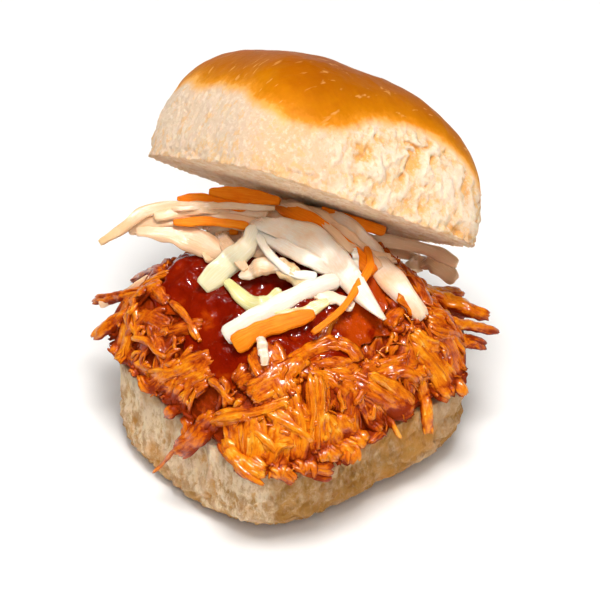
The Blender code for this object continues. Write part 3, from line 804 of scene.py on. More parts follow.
shreds = {
    "seed": 17,
    "chunks": 330,  # torn pieces strewn over the pile, each a bundle of strands that lie side by side
    "chunkLength": (8.0, 17.0),
    "chunkFrom": 0.3,  # they start at this share of the way out
    "lowLift": (-0.4, 0.7),  # mm above the drape, for the half that is laid first and for the rest
    "highLift": (0.5, 2.0),
    "strandWidth": (1.1, 2.3),
    "strandsEach": (2, 7),
    "overhang": 5.0,  # how far past the rim the outer ends reach
    "leftOverhang": 0.35,  # share of that at the left
    "clear": 1.08,  # nothing is strewn inside this share of the pool
    # pixels, with a radius, where no strewn piece hides the heel or the sauce
    "bare": (
        (324, 384, 8), (274, 358, 11), (344, 346, 12), (460, 376, 9), (428, 396, 7), (318, 352, 5),
        (415, 330, 8),
    ),
    "goldenAngle": 2.399963,  # radians from one strewn piece to the next
    "pathStations": 25,
    "bits": 620,  # short scraps between the pieces
    "bitSizes": ((2.0, 4.5), (1.0, 2.0), (0.2, 2.2)),  # lengths, widths and lifts
    "threads": 330,
    "threadSizes": ((5.0, 11.0), (0.4, 0.8), (0.8, 2.4)),
    "scrapFrom": 0.35,
    "scrapOverhang": 3.0,
    "backChunks": 130,  # more pieces round the rim, of which those on the far side are kept
    "backFrom": 0.86,
    "backLift": (0.0, 1.6),
    "backLimit": -9.0,  # how far away from the camera's side that is, in mm
    "reach": 45.0,  # no piece goes further out than this
    "perch": 4.0,  # a placed piece may lie this much higher than the drape, on others
    "stiffBelow": 0.5,  # a placed piece with at most this slope sticks straight out
    # pieces of meat that stand out, as the pixels of their two ends, then width in mm, strands, lift,
    # tone from dark to pale, bend in pixels, and the slope at which they hang past the rim
    "placed": (
        (297, 291, 280, 299, 2.8, 2, 0.8, 0.45, 1, 0.5), (258, 304, 292, 305, 4.2, 3, 0.6, 0.4, 1, 0.4),
        (264, 309, 290, 306, 3.6, 3, 1.0, 0.35, -1, 0.4), (258, 331, 280, 315, 4.6, 3, 1.2, 0.7, 2, 0.35),
        (263, 326, 285, 322, 3.2, 3, 0.4, 0.4, 0, 0.4), (281, 310, 284, 333, 2.0, 1, 2.0, 0.8, -2, 1.0),
        (283, 331, 301, 343, 2.0, 1, 1.8, 0.8, -2, 1.0), (291, 351, 326, 339, 5.2, 4, 1.5, 0.5, 4, 3.0),
        (293, 357, 327, 347, 5.0, 4, 1.3, 0.6, 4, 3.0), (298, 364, 325, 354, 4.4, 3, 1.0, 0.5, 3, 3.0),
        (279, 342, 293, 350, 3.4, 3, 0.8, 0.95, 0, 3.2), (281, 352, 291, 345, 2.6, 2, 0.8, 0.85, 0, 3.2),
        (300, 374, 312, 367, 3.2, 2, 0.8, 0.4, 0, 3.2), (312, 386, 313, 368, 3.0, 2, 0.8, 0.4, 0, 4.0),
        (306, 394, 329, 372, 5.4, 3, 1.6, 0.5, 2, 3.0), (323, 376, 371, 365, 4.0, 3, 2.0, 0.55, 2, 1.0),
        (294, 406, 308, 391, 0.9, 1, 0.8, 0.1, 0, 3.4), (302, 310, 320, 334, 1.8, 2, 1.6, 0.5, -2, 1.0),
        (326, 353, 339, 367, 2.0, 1, 1.6, 0.6, 0, 1.0), (345, 345, 339, 356, 3.2, 2, 1.2, 0.55, 0, 1.0),
        (341, 358, 373, 350, 5.0, 4, 1.2, 0.45, -2, 1.0), (369, 347, 397, 333, 3.8, 3, 2.0, 0.75, -3, 1.0),
        (395, 333, 408, 344, 3.4, 3, 2.0, 0.6, -2, 1.0), (379, 351, 402, 362, 3.6, 2, 2.0, 0.9, -2, 1.0),
        (380, 346, 405, 344, 2.8, 2, 1.4, 0.6, 0, 1.0), (334, 385, 357, 405, 6.0, 4, 1.4, 0.75, 4, 2.8),
        (344, 378, 366, 398, 3.8, 3, 1.4, 0.55, -2, 2.8), (356, 371, 382, 389, 4.4, 3, 1.6, 0.65, -2, 2.8),
        (364, 368, 392, 380, 3.6, 3, 1.5, 0.5, 1, 2.8), (405, 353, 440, 345, 7.4, 6, 0.8, 0.15, -3, 1.0),
        (408, 349, 436, 341, 4.0, 3, 1.6, 0.3, 2, 1.0), (396, 371, 411, 390, 6.0, 3, 1.2, 0.35, 3, 2.8),
        (408, 368, 426, 374, 2.2, 2, 1.4, 0.6, -1, 0.8), (415, 360, 431, 385, 1.5, 1, 0.8, 0.5, 2, 3.4),
        (440, 351, 446, 385, 2.8, 2, 0.8, 0.7, -2, 3.6), (451, 340, 468, 363, 3.2, 2, 1.0, 0.65, 1, 1.2),
        (437, 327, 453, 338, 5.4, 4, 1.6, 0.85, 3, 1.0), (445, 319, 487, 328, 3.2, 2, 1.2, 0.55, 1, 0.3),
        (448, 327, 479, 336, 4.6, 3, 0.8, 0.6, -1, 0.3), (443, 305, 466, 299, 3.8, 2, 1.0, 0.6, -1, 0.25),
        (442, 304, 468, 318, 5.0, 3, 1.4, 0.7, 1, 0.25), (443, 305, 482, 319, 4.6, 2, 1.0, 0.55, 1, 0.25),
        (395, 318, 387, 333, 2.6, 2, 1.4, 0.6, 1, 1.0), (371, 397, 393, 403, 5.4, 4, 0.8, 0.3, 2, 3.0),
        (378, 386, 397, 396, 4.8, 3, 1.2, 0.4, 3, 3.0), (430, 352, 458, 350, 5.0, 4, 0.6, 0.5, -2, 1.2),
        (284, 318, 303, 325, 5.2, 4, 0.8, 0.3, 1, 1.0), (290, 300, 301, 312, 3.6, 3, 1.2, 0.35, 0, 1.0),
        (372, 356, 378, 380, 3.6, 3, 1.4, 0.45, 2, 1.0), (352, 392, 372, 410, 3.6, 3, 0.8, 0.4, 1, 3.4),
    ),
    "tones": (  # from deep in the pile to its lit and palest meat
        (0.0, (0.26, 0.024, 0.0008)),
        (0.18, (0.46, 0.065, 0.001)),
        (0.4, (0.66, 0.145, 0.002)),
        (0.62, (0.78, 0.235, 0.004)),
        (0.82, (0.87, 0.38, 0.03)),
        (1.0, (0.95, 0.58, 0.2)),
    ),
}

# how strewn pieces vary: spreads of normal draws, and the ends of even ones where there are two
spread = {
    "spot": 0.05,  # radians round the pile
    "rimFrom": 0.8,  # from this share of the way out, pieces rather point outwards
    "rimHeading": 1.1,
    "pileHeading": (-1.6, 1.6),
    "bow": 0.14,  # share of a piece's length
    "slope": (0.8, 2.4),
    "overhang": (0.5, 1.3),
    "left": (-22, -32),  # mm along the camera's right, between which the left begins
    "rock": 1.1,  # mm by which its ends lie higher or lower than its middle
    "rockFades": (1.05, 0.8),  # shares of the way to the rim between which it does so
}

# the strands that the pieces are made of
fibre = {
    "widths": (0.85, 1.2),  # shares of its even part of a piece's width
    "along": 14.0,  # mm along a strand for each unit of its pattern
    "shifts": 40.0,  # how far apart the patterns of two strands may start
    "tornBack": 0.14,  # how much of its half length a strand may lack at an end
    "fan": 0.4,
    "bends": (0.05, 0.4),
    "flatness": (0.6, 0.95),
    "roll": 0.4,
    "twist": 0.7,  # radians from its middle to an end
    "ragged": 0.2,  # share of the width by which its torn ends are uneven
    "toneSpread": 0.1,
    "ridges": (0.12, 0.09),  # the two ridges and the five that run along it
    "lumps": (2.3, 0.24),  # size in mm and share of the radius
    "grooves": 0.16,  # in the flesh beneath
    "bodyLumps": (2.1, 0.2),
}

# the grid that finds how deep each place lies: its cell and half side, the slope that it is measured
# from, and the depths in mm from which shade starts and is full
shading = {"cell": 0.7, "half": 55.0, "slope": 1.5, "depths": (0.2, 2.4)}


def seenAt(points):
    # the photograph's pixels at which points are seen
    right, up, _ = viewAxes()
    across = photo["heelPixel"][0] + photo["pixelsPerMm"] * (points @ right)
    return np.stack([across, photo["heelPixel"][1] - photo["pixelsPerMm"] * (points @ up)], axis=-1)


def castTo(surface, pixels):
    # the first point that each pixel's line of sight meets on a surface, coming from the camera, or else
    # the one where it passes nearest, lowered to lie on the pieces there
    right, up, back = viewAxes()
    across = (pixels[..., 0] - photo["heelPixel"][0]) / photo["pixelsPerMm"]
    above = (photo["heelPixel"][1] - pixels[..., 1]) / photo["pixelsPerMm"]
    start = across[..., None] * right + above[..., None] * up
    line = start[..., None, :] + np.arange(*photo["sight"])[:, None] * back
    gap = line[..., 2] - surface(line[..., 0], line[..., 1])
    gap = np.where(rollNorm(line[..., 0], line[..., 1]) > shreds["reach"], 99, gap)
    first = np.where((gap < 0).any(axis=-1), np.argmax(gap < 0, axis=-1), np.argmin(gap, axis=-1))
    point = np.take_along_axis(line, first[..., None, None], axis=-2)[..., 0, :]
    over = np.take_along_axis(gap, first[..., None], axis=-1)[..., 0]
    point[..., 2] -= np.maximum(over - shreds["perch"], 0)
    return point


def placedPaths():
    # a curve for each placed piece: evenly spaced pixels between its ends, bowed by bend (1 - t^2),
    # cast on the pile and averaged with their neighbours; one that sticks out past the rim, which its
    # gentle slope tells, runs straight from its root on the pile to its tip
    table = np.array(shreds["placed"], dtype=float)
    t = np.linspace(-1, 1, shreds["pathStations"])
    start, end = table[:, 0:2], table[:, 2:4]
    heading = unit(end - start)
    across = np.stack([-heading[:, 1], heading[:, 0]], axis=-1)
    pixels = (start + end)[:, None] / 2 + (end - start)[:, None] / 2 * t[:, None]
    pixels = pixels + across[:, None] * (table[:, 8, None] * (1 - t * t))[..., None]
    lift, slope = table[:, 6, None, None], table[:, 9, None, None]
    paths = castTo(lambda x, y: drape(x, y, slope) + lift, pixels)
    share = (t[:, None] + 1) / 2
    stiff = paths[:, :1] * (1 - share) + paths[:, -1:] * share
    return smoothedPaths(np.where(slope <= shreds["stiffBelow"], stiff, paths), 6), table


def smoothedPaths(paths, passes):
    # each inner station moves to a quarter, a half and a quarter of itself and its neighbours
    for _ in range(passes):
        inner = paths[:, :-2] * 0.25 + paths[:, 1:-1] * 0.5 + paths[:, 2:] * 0.25
        paths = np.concatenate([paths[:, :1], inner, paths[:, -1:]], axis=1)
    return paths


def strewnPaths(draw, count, lengths, lifts, inner, overhang, clear):
    # pieces spread evenly by the golden angle, outside the sauce, with a bent level course; past the
    # rim the course is shortened by sqrt(1 + slope^2) so that it keeps its length as it hangs
    order = np.arange(count) + draw.uniform(-0.5, 0.5, count)
    share = np.sqrt(inner**2 + (1.0 - inner**2) * np.clip(order / count, 0, 1))
    angle = order * shreds["goldenAngle"] + draw.normal(0, spread["spot"], count)
    outline = planOutline(angle, heap["outlinePower"])
    middle = np.array(heap["peak"]) * (1 - share)[:, None] + outline * (share * heap["half"])[:, None]
    keep = poolShare(middle[:, 0], middle[:, 1]) > clear
    middle, angle, share = middle[keep], angle[keep], share[keep]
    count = len(middle)
    onRim = draw.normal(0, spread["rimHeading"], count)
    onPile = draw.uniform(*spread["pileHeading"], count)
    heading = angle + np.where(share > spread["rimFrom"], onRim, onPile)
    length = draw.uniform(*lengths, count)
    t = np.linspace(-1, 1, shreds["pathStations"])
    along = np.stack([np.cos(heading), np.sin(heading)], axis=-1)
    across = np.stack([-along[:, 1], along[:, 0]], axis=-1)
    bow = (1 - t * t) * (draw.normal(0, spread["bow"], count) * length)[:, None]
    course = middle[:, None] + along[:, None] * (t * length[:, None] / 2)[..., None]
    course = course + across[:, None] * bow[..., None]
    slope = draw.uniform(*spread["slope"], (count, 1))
    norm = rollNorm(course[..., 0], course[..., 1])
    left = smoothStep(*spread["left"], course @ viewAxes()[0][:2])
    overhang = overhang * draw.uniform(*spread["overhang"], (count, 1))
    overhang = overhang * (1 - left * (1 - shreds["leftOverhang"]))
    hangFrom = heap["hangFrom"]
    beyond = np.clip(norm - hangFrom, 0, overhang)
    reach = np.where(norm > hangFrom, (hangFrom + beyond / np.sqrt(1 + slope**2)) / norm, 1)
    x, y = course[..., 0] * reach, course[..., 1] * reach
    rock = draw.normal(0, spread["rock"], (count, 1)) * t
    lift = draw.uniform(*lifts, (count, 1)) + rock * smoothStep(*spread["rockFades"], norm / hangFrom)
    paths = smoothedPaths(np.stack([x, y, drape(x, y, slope) + lift], axis=-1), 3)
    bare = np.array(shreds["bare"], dtype=float)
    away = np.linalg.norm(seenAt(paths)[:, :, None] - bare[:, :2], axis=-1)
    keep = (away > bare[:, 2]).all(axis=(1, 2))
    return paths[keep], slope[keep]


def spineFrames(paths, owner, at, slope, rolls):
    # places at the stations at, counted along each owner's path, and the unit directions ahead, aside and
    # up there: up leaves the drape, and then it and aside are turned about the way ahead by rolls
    low = np.clip(np.floor(at).astype(int), 0, paths.shape[1] - 2)
    part = (at - low)[..., None]
    spine = paths[owner[:, None], low] * (1 - part) + paths[owner[:, None], low + 1] * part
    normal = surfaceNormal(lambda x, y: drape(x, y, slope[owner]), spine[..., 0], spine[..., 1])
    ahead = unit(np.gradient(spine, axis=1))
    aside = unit(np.cross(normal, ahead))
    up = np.cross(ahead, aside)
    turn = rolls[owner][:, None, None]
    cosine, sine = np.cos(turn), np.sin(turn)
    return spine, ahead, aside * cosine + up * sine, up * cosine - aside * sine


def clearSpine(spine, thick):
    # kept under the tipped half and out of the heel's side, by a share of the thickness
    return outsideHeel(belowLid(spine, gaps["strand"]), thick[:, None] * 0.4)


def arcLength(path):
    # sum of the distances from station to station
    return np.linalg.norm(np.diff(path, axis=-2), axis=-1).sum(axis=-1)


def patternAlong(draw, t, spine):
    # distance along each strand in units of its pattern, from a random start
    size = arcLength(spine)[:, None, None] / fibre["along"]
    return t[:, None] * size + draw.uniform(0, fibre["shifts"], (len(spine), 1, 1))


def lumpy(rings, spine, size, share, seed, layers):
    # each ring's radii grow and shrink by a share of themselves, by noise
    return rings + (rings - spine[:, :, None]) * (cloudNoise(rings, size, seed, layers) * share)[..., None]


def bundleRings(draw, paths, slope, width, count, tone, rolls, stations, sides):
    # count strands lie across each path's width, higher towards its middle, and their torn ends differ;
    # each strand's section is an oval with ridges that twist along it and a lumpy skin
    owner = np.repeat(np.arange(len(paths)), count)
    number = len(owner)
    first = np.repeat(np.cumsum(count) - count, count)
    others = np.repeat(count - 1, count)
    place = np.where(others > 0, (np.arange(number) - first) / np.maximum(others, 1) * 2 - 1, 0.0)
    strand = width[owner] / (0.5 + 0.6 * count[owner]) * draw.uniform(*fibre["widths"], number)
    startGap, endGap = (np.abs(draw.normal(0, fibre["tornBack"], number)) * (others > 0) for _ in range(2))
    t = np.linspace(0, 1, stations)
    u = (startGap - 1)[:, None] * (1 - t) + (1 - endGap)[:, None] * t
    at = (u + 1) / 2 * (paths.shape[1] - 1)
    spine, ahead, aside, up = spineFrames(paths, owner, at, slope, rolls)
    fan = 1 + fibre["fan"] * np.abs(u) ** 3 * draw.uniform(-0.3, 1.0, (number, 1))
    bends, sets, waves = (draw.uniform(*ends, (number, 1)) for ends in (fibre["bends"], (0, 6), (2, 6)))
    sideways = (place * (width[owner] - strand) / 2)[:, None] * fan + bends * np.sin(u * waves + sets)
    upwards = ((1 - place**2) * strand * 0.4 * draw.uniform(0.4, 1.3, number))[:, None]
    upwards = upwards + bends[::-1] * np.sin(u * 4 + sets[::-1])
    spine = clearSpine(spine + aside * sideways[..., None] + up * upwards[..., None], strand)

    turn = ringAngles(sides)
    twist = draw.uniform(0, 6, (number, 1, 1))
    twist = twist + draw.normal(0, fibre["twist"], (number, 1, 1)) * u[..., None]
    two, five = fibre["ridges"]
    ridges = 1 + two * np.cos(2 * turn + twist) + five * np.cos(5 * turn - 2 * twist)
    edge = np.abs(t * 2 - 1)
    waist = 1 + 0.1 * np.sin(t * 9 + draw.uniform(0, 6, (number, 1)))
    taper = (0.4 + 0.6 * (1 - edge**5) ** 0.5) * waist
    radius = ridges * (strand[:, None] / 2 * taper)[..., None]
    flat = draw.uniform(*fibre["flatness"], (number, 1, 1))
    rolled = draw.normal(0, fibre["roll"], (number, 1, 1)) + turn
    rings = spine[:, :, None] + aside[:, :, None] * (radius * np.cos(rolled))[..., None]
    rings = rings + up[:, :, None] * (radius * flat * np.sin(rolled))[..., None]
    rings = lumpy(rings, spine, *fibre["lumps"], 151, 3)
    ragged = draw.uniform(-fibre["ragged"], fibre["ragged"], (number, 1, sides)) * strand[:, None, None]
    ragged = ragged * ((edge > 0.99) * np.sign(t - 0.5))[:, None]
    rings = rings + ahead[:, :, None] * ragged[..., None]
    fields = {
        "tone": (tone[owner] + draw.normal(0, fibre["toneSpread"], number))[:, None, None],
        "along": patternAlong(draw, t, spine),
        "round": turn / math.pi - 1,
        # darker on each strand's sides and underside, where it meets its neighbours, as painted shade
        "cavity": (1 - np.maximum(np.sin(rolled), 0)) ** 1.4,
    }
    return insideBox(rings), fields


def bodyRings(draw, paths, slope, width, count, tone, rolls, stations, sides):
    # the flesh that a bundle's strands are part of: a flattened oval along the path, cupped a little,
    # with grooves from noise that changes fast round it and slowly along it, and ragged ends
    owner = np.arange(len(paths))
    thick = width / (0.5 + 0.6 * count) * 1.15 + 0.1 * width
    t = np.linspace(-0.93, 0.93, stations)
    at = np.tile((t + 1) / 2 * (paths.shape[1] - 1), (len(paths), 1))
    spine, ahead, aside, up = spineFrames(paths, owner, at, slope, rolls)
    spine = clearSpine(spine, thick)
    turn = ringAngles(sides)
    along = t[:, None] * arcLength(spine)[:, None, None] / 12 + owner[:, None, None] * 5.7
    place = np.stack(np.broadcast_arrays(np.cos(turn) * 2.6, np.sin(turn) * 2.6, along), axis=-1)
    taper = 0.35 + 0.65 * (1 - np.abs(t / 0.95) ** 4) ** 0.5
    radius = (1 + fibre["grooves"] * cloudNoise(place, 1.0, 161, 2)) * taper[:, None]
    wide = radius * np.cos(turn) * (width / 2)[:, None, None]
    high = radius * np.sin(turn) * (thick / 2)[:, None, None] - 0.12 * np.abs(wide)
    rings = spine[:, :, None] + aside[:, :, None] * wide[..., None] + up[:, :, None] * high[..., None]
    ragged = (smoothStep(0.7, 0.93, np.abs(t)) * np.sign(t))[:, None] * (width / 7)[:, None, None]
    ragged = ragged * cloudNoise(place * 0.9, 1.0, 171, 2)
    rings = rings + ahead[:, :, None] * ragged[..., None]
    fields = {
        # the flesh's tone is lowered and its underside darkened, as painted shade beneath the strands
        "tone": (tone - 0.18)[:, None, None],
        "along": patternAlong(draw, t, spine),
        "round": turn / math.pi * (width / 2.4)[:, None, None],
        "cavity": smoothStep(0.3, -0.6, np.sin(turn)),
    }
    return insideBox(lumpy(rings, spine, *fibre["bodyLumps"], 181, 2)), fields


def chunkSet(draw, number, inner, lifts, clear, facing=99.0):
    # torn pieces whose middles lie less than facing, in mm, towards the camera's side
    lengths, overhang = shreds["chunkLength"], shreds["overhang"]
    paths, slope = strewnPaths(draw, number, lengths, lifts, inner, overhang, clear)
    keep = paths[:, shreds["pathStations"] // 2, :2] @ viewAxes()[2][:2] < facing
    paths, slope = paths[keep], slope[keep]
    number = len(paths)
    count = draw.integers(*shreds["strandsEach"], number)
    width = (0.5 + 0.6 * count) * draw.uniform(*shreds["strandWidth"], number)
    return paths, slope, width, count, draw.uniform(0.1, 0.85, number), draw.normal(0, 0.35, number)


def scrapSet(draw, number, lengths, widths, lifts):
    # short or thin scraps, each a single strand
    inner, overhang = shreds["scrapFrom"], shreds["scrapOverhang"]
    paths, slope = strewnPaths(draw, number, lengths, lifts, inner, overhang, shreds["clear"])
    tone = draw.uniform(0.0, 0.9, len(paths))
    count = np.ones(len(paths), dtype=int)
    return paths, slope, draw.uniform(*widths, len(paths)) * 1.1, count, tone, 0 * tone


def shadeByDepth(pieces):
    # how deep each point lies below the top of its surroundings, which darkens the meat as painted shade: the
    # greatest height over the drape in each square of a grid, spread to its neighbours and averaged, less the
    # point's own height over it
    def gridSpot(rings):
        return ((rings[..., :2] + shading["half"]) / shading["cell"]).astype(int).clip(0, size - 1)

    def level(x, y):
        return drape(x, y, shading["slope"])

    size = int(2 * shading["half"] / shading["cell"])
    top = np.zeros((size, size))
    for _, rings, _ in pieces:
        spot = gridSpot(rings)
        above = rings[..., 2] - level(rings[..., 0], rings[..., 1])
        np.maximum.at(top, (spot[..., 0], spot[..., 1]), above)
    sides = [np.roll(top, step, axis) for axis in (0, 1) for step in (-1, 1)]
    top = np.maximum(top, np.maximum.reduce(sides))
    for _ in range(6):
        top = sum(np.roll(top, step, axis) for axis in (0, 1) for step in (-1, 0, 0, 1)) / 8
    for _, rings, fields in pieces:
        spot = gridSpot(rings)
        x, y, z = np.moveaxis(rings, -1, 0)
        depth = (top[spot[..., 0], spot[..., 1]] - (z - level(x, y))) * surfaceNormal(level, x, y)[..., 2]
        onPile = smoothStep(heap["floor"] - 6, heap["floor"], z)
        fields["depth"] = smoothStep(*shading["depths"], depth) * onPile
        fields["sauced"] = smoothStep(1.5, 1.0, poolShare(x, y))


def makeChicken(material):
    # the pile's skin, and on it the strewn pieces, the placed ones, scraps, and those of the far rim; what
    # is drawn at random is drawn in this order
    draw = np.random.default_rng(shreds["seed"])
    half, inner, clear = shreds["chunks"] // 2, shreds["chunkFrom"], shreds["clear"]
    pieces = [("chickenMound", *moundRings())]

    def addBundles(name, chunks, stations, sides):
        pieces.append(("shredBodies" + name, *bodyRings(draw, *chunks, stations + 3, sides * 2)))
        pieces.append(("shreds" + name, *bundleRings(draw, *chunks, stations, sides)))

    low = chunkSet(draw, half, inner, shreds["lowLift"], clear)
    high = chunkSet(draw, half, inner, shreds["highLift"], clear)
    paths, table = placedPaths()
    rolls = draw.normal(0, 0.2, len(table))
    addBundles("Low", low, 13, 9)
    addBundles("High", high, 13, 9)
    placed = paths, table[:, 9:10], table[:, 4], table[:, 5].astype(int), table[:, 7], rolls
    addBundles("Placed", placed, 22, 14)
    bits = scrapSet(draw, shreds["bits"], *shreds["bitSizes"])
    pieces.append(("shredBits", *bundleRings(draw, *bits, 8, 8)))
    threads = scrapSet(draw, shreds["threads"], *shreds["threadSizes"])
    pieces.append(("shredThreads", *bundleRings(draw, *threads, 10, 5)))
    inner, lifts, facing = shreds["backFrom"], shreds["backLift"], shreds["backLimit"]
    back = chunkSet(draw, shreds["backChunks"], inner, lifts, 0.0, facing)
    addBundles("Back", back, 13, 9)
    shadeByDepth(pieces)
    for name, rings, fields in pieces:
        piece = tubeMesh(name, rings, fields)
        dress(piece, material, "chicken" if name == "chickenMound" else None)


def chickenMaterial():
    paint = Paint("saucedChicken")
    here = paint.place()
    tone, depth, cavity = paint.field("tone"), paint.field("depth"), paint.field("cavity")
    alongFibre = paint.joined(paint.field("along") * 1.6, paint.field("round") * 1.8, tone * 19)
    streak = paint.noise(alongFibre, 2.2, 4, 0.62)
    blotch = paint.noise(here, 360, 4, 0.65)
    patch = paint.noise(here, 75, 3, 0.55)
    value = (streak - 0.5) * 1.1 + (blotch - 0.5) * 1.1 + (tone - 0.5) * 0.36 + (patch - 0.5) * 0.9 + 0.505
    # painted shade: darker on the strands' sides and undersides and in grooves, and where the meat lies deep
    # in the pile
    value = value - cavity * 0.3 - depth * 0.55 - paint.field("sauced") * 0.12
    wet = paint.between(paint.noise(here, 420, 2, 0.5), 0.35, 0.55)
    return paint.finish(
        Base_Color=paint.ramp(value, shreds["tones"]),
        Roughness=0.5 - wet * 0.15,
        Specular_IOR_Level=0.05,
        Coat_Weight=wet * (1 - depth) * (1 - cavity),
        Coat_Roughness=0.2,
        Normal=paint.bump(streak * 0.4 + blotch * 0.6, 0.0008, 0.7),
    )


# The sauce

def makeSauce():
    # a pool with its edge waved: rings in under it and back out over it, its top swelling by
    # depth (1 - share^5)^(1/2) and following the lumps beneath, with slow ripples
    angle = ringAngles(pool["around"])
    outward = np.linspace(0.02, 1, pool["rows"] // 2) ** 0.8
    share = np.concatenate([outward, outward[::-1]])[:, None]
    top = np.repeat([0, 1], len(outward))[:, None]
    edge = poolEdge(angle) * (1 + waves(angle, pool["scallops"]))
    turn = math.radians(pool["turn"])
    along = share * np.cos(angle) * edge * pool["long"]
    across = share * np.sin(angle) * edge * pool["short"]
    x = pool["centre"][0] + along * math.cos(turn) - across * math.sin(turn)
    y = pool["centre"][1] + along * math.sin(turn) + across * math.cos(turn)
    plan = np.stack([x, y], axis=-1)
    ripple = noiseSum(raised(plan, 0.0), pool["ripples"])
    full = np.sqrt(np.maximum(1.001 - share**5, 0))
    bed = heapTop(x, y) + 0.5 + (lumps(x, y) - 0.3) * 0.75
    points = belowLid(raised(plan, bed + top * full * (pool["depth"] + ripple)), gaps["sauce"])
    thin = smoothStep(0, 18, raised(plan, bed) @ viewAxes()[0])
    return tubeMesh("saucePool", points[None], {"thick": 1 - share**3 + ripple * 0.3, "thin": thin})


def sauceMaterial():
    paint = Paint("redSauce")
    here = paint.place()
    cloud = paint.noise(here, 170, 3, 0.55)
    fine = paint.noise(here, 620, 3, 0.6)
    value = paint.field("thick") * 0.41 + (cloud - 0.5) * 1.6 - paint.field("thin") * 0.3 + 0.19
    return paint.finish(
        Base_Color=paint.ramp(value, pool["tones"]),
        Roughness=0.12 + fine * 0.1,
        Specular_IOR_Level=0.05,
        Coat_Weight=0.35,
        Coat_Roughness=0.02,
        Normal=paint.bump(fine * 0.5 + cloud * 0.5, 0.0009, 0.6),
    )


# The coleslaw

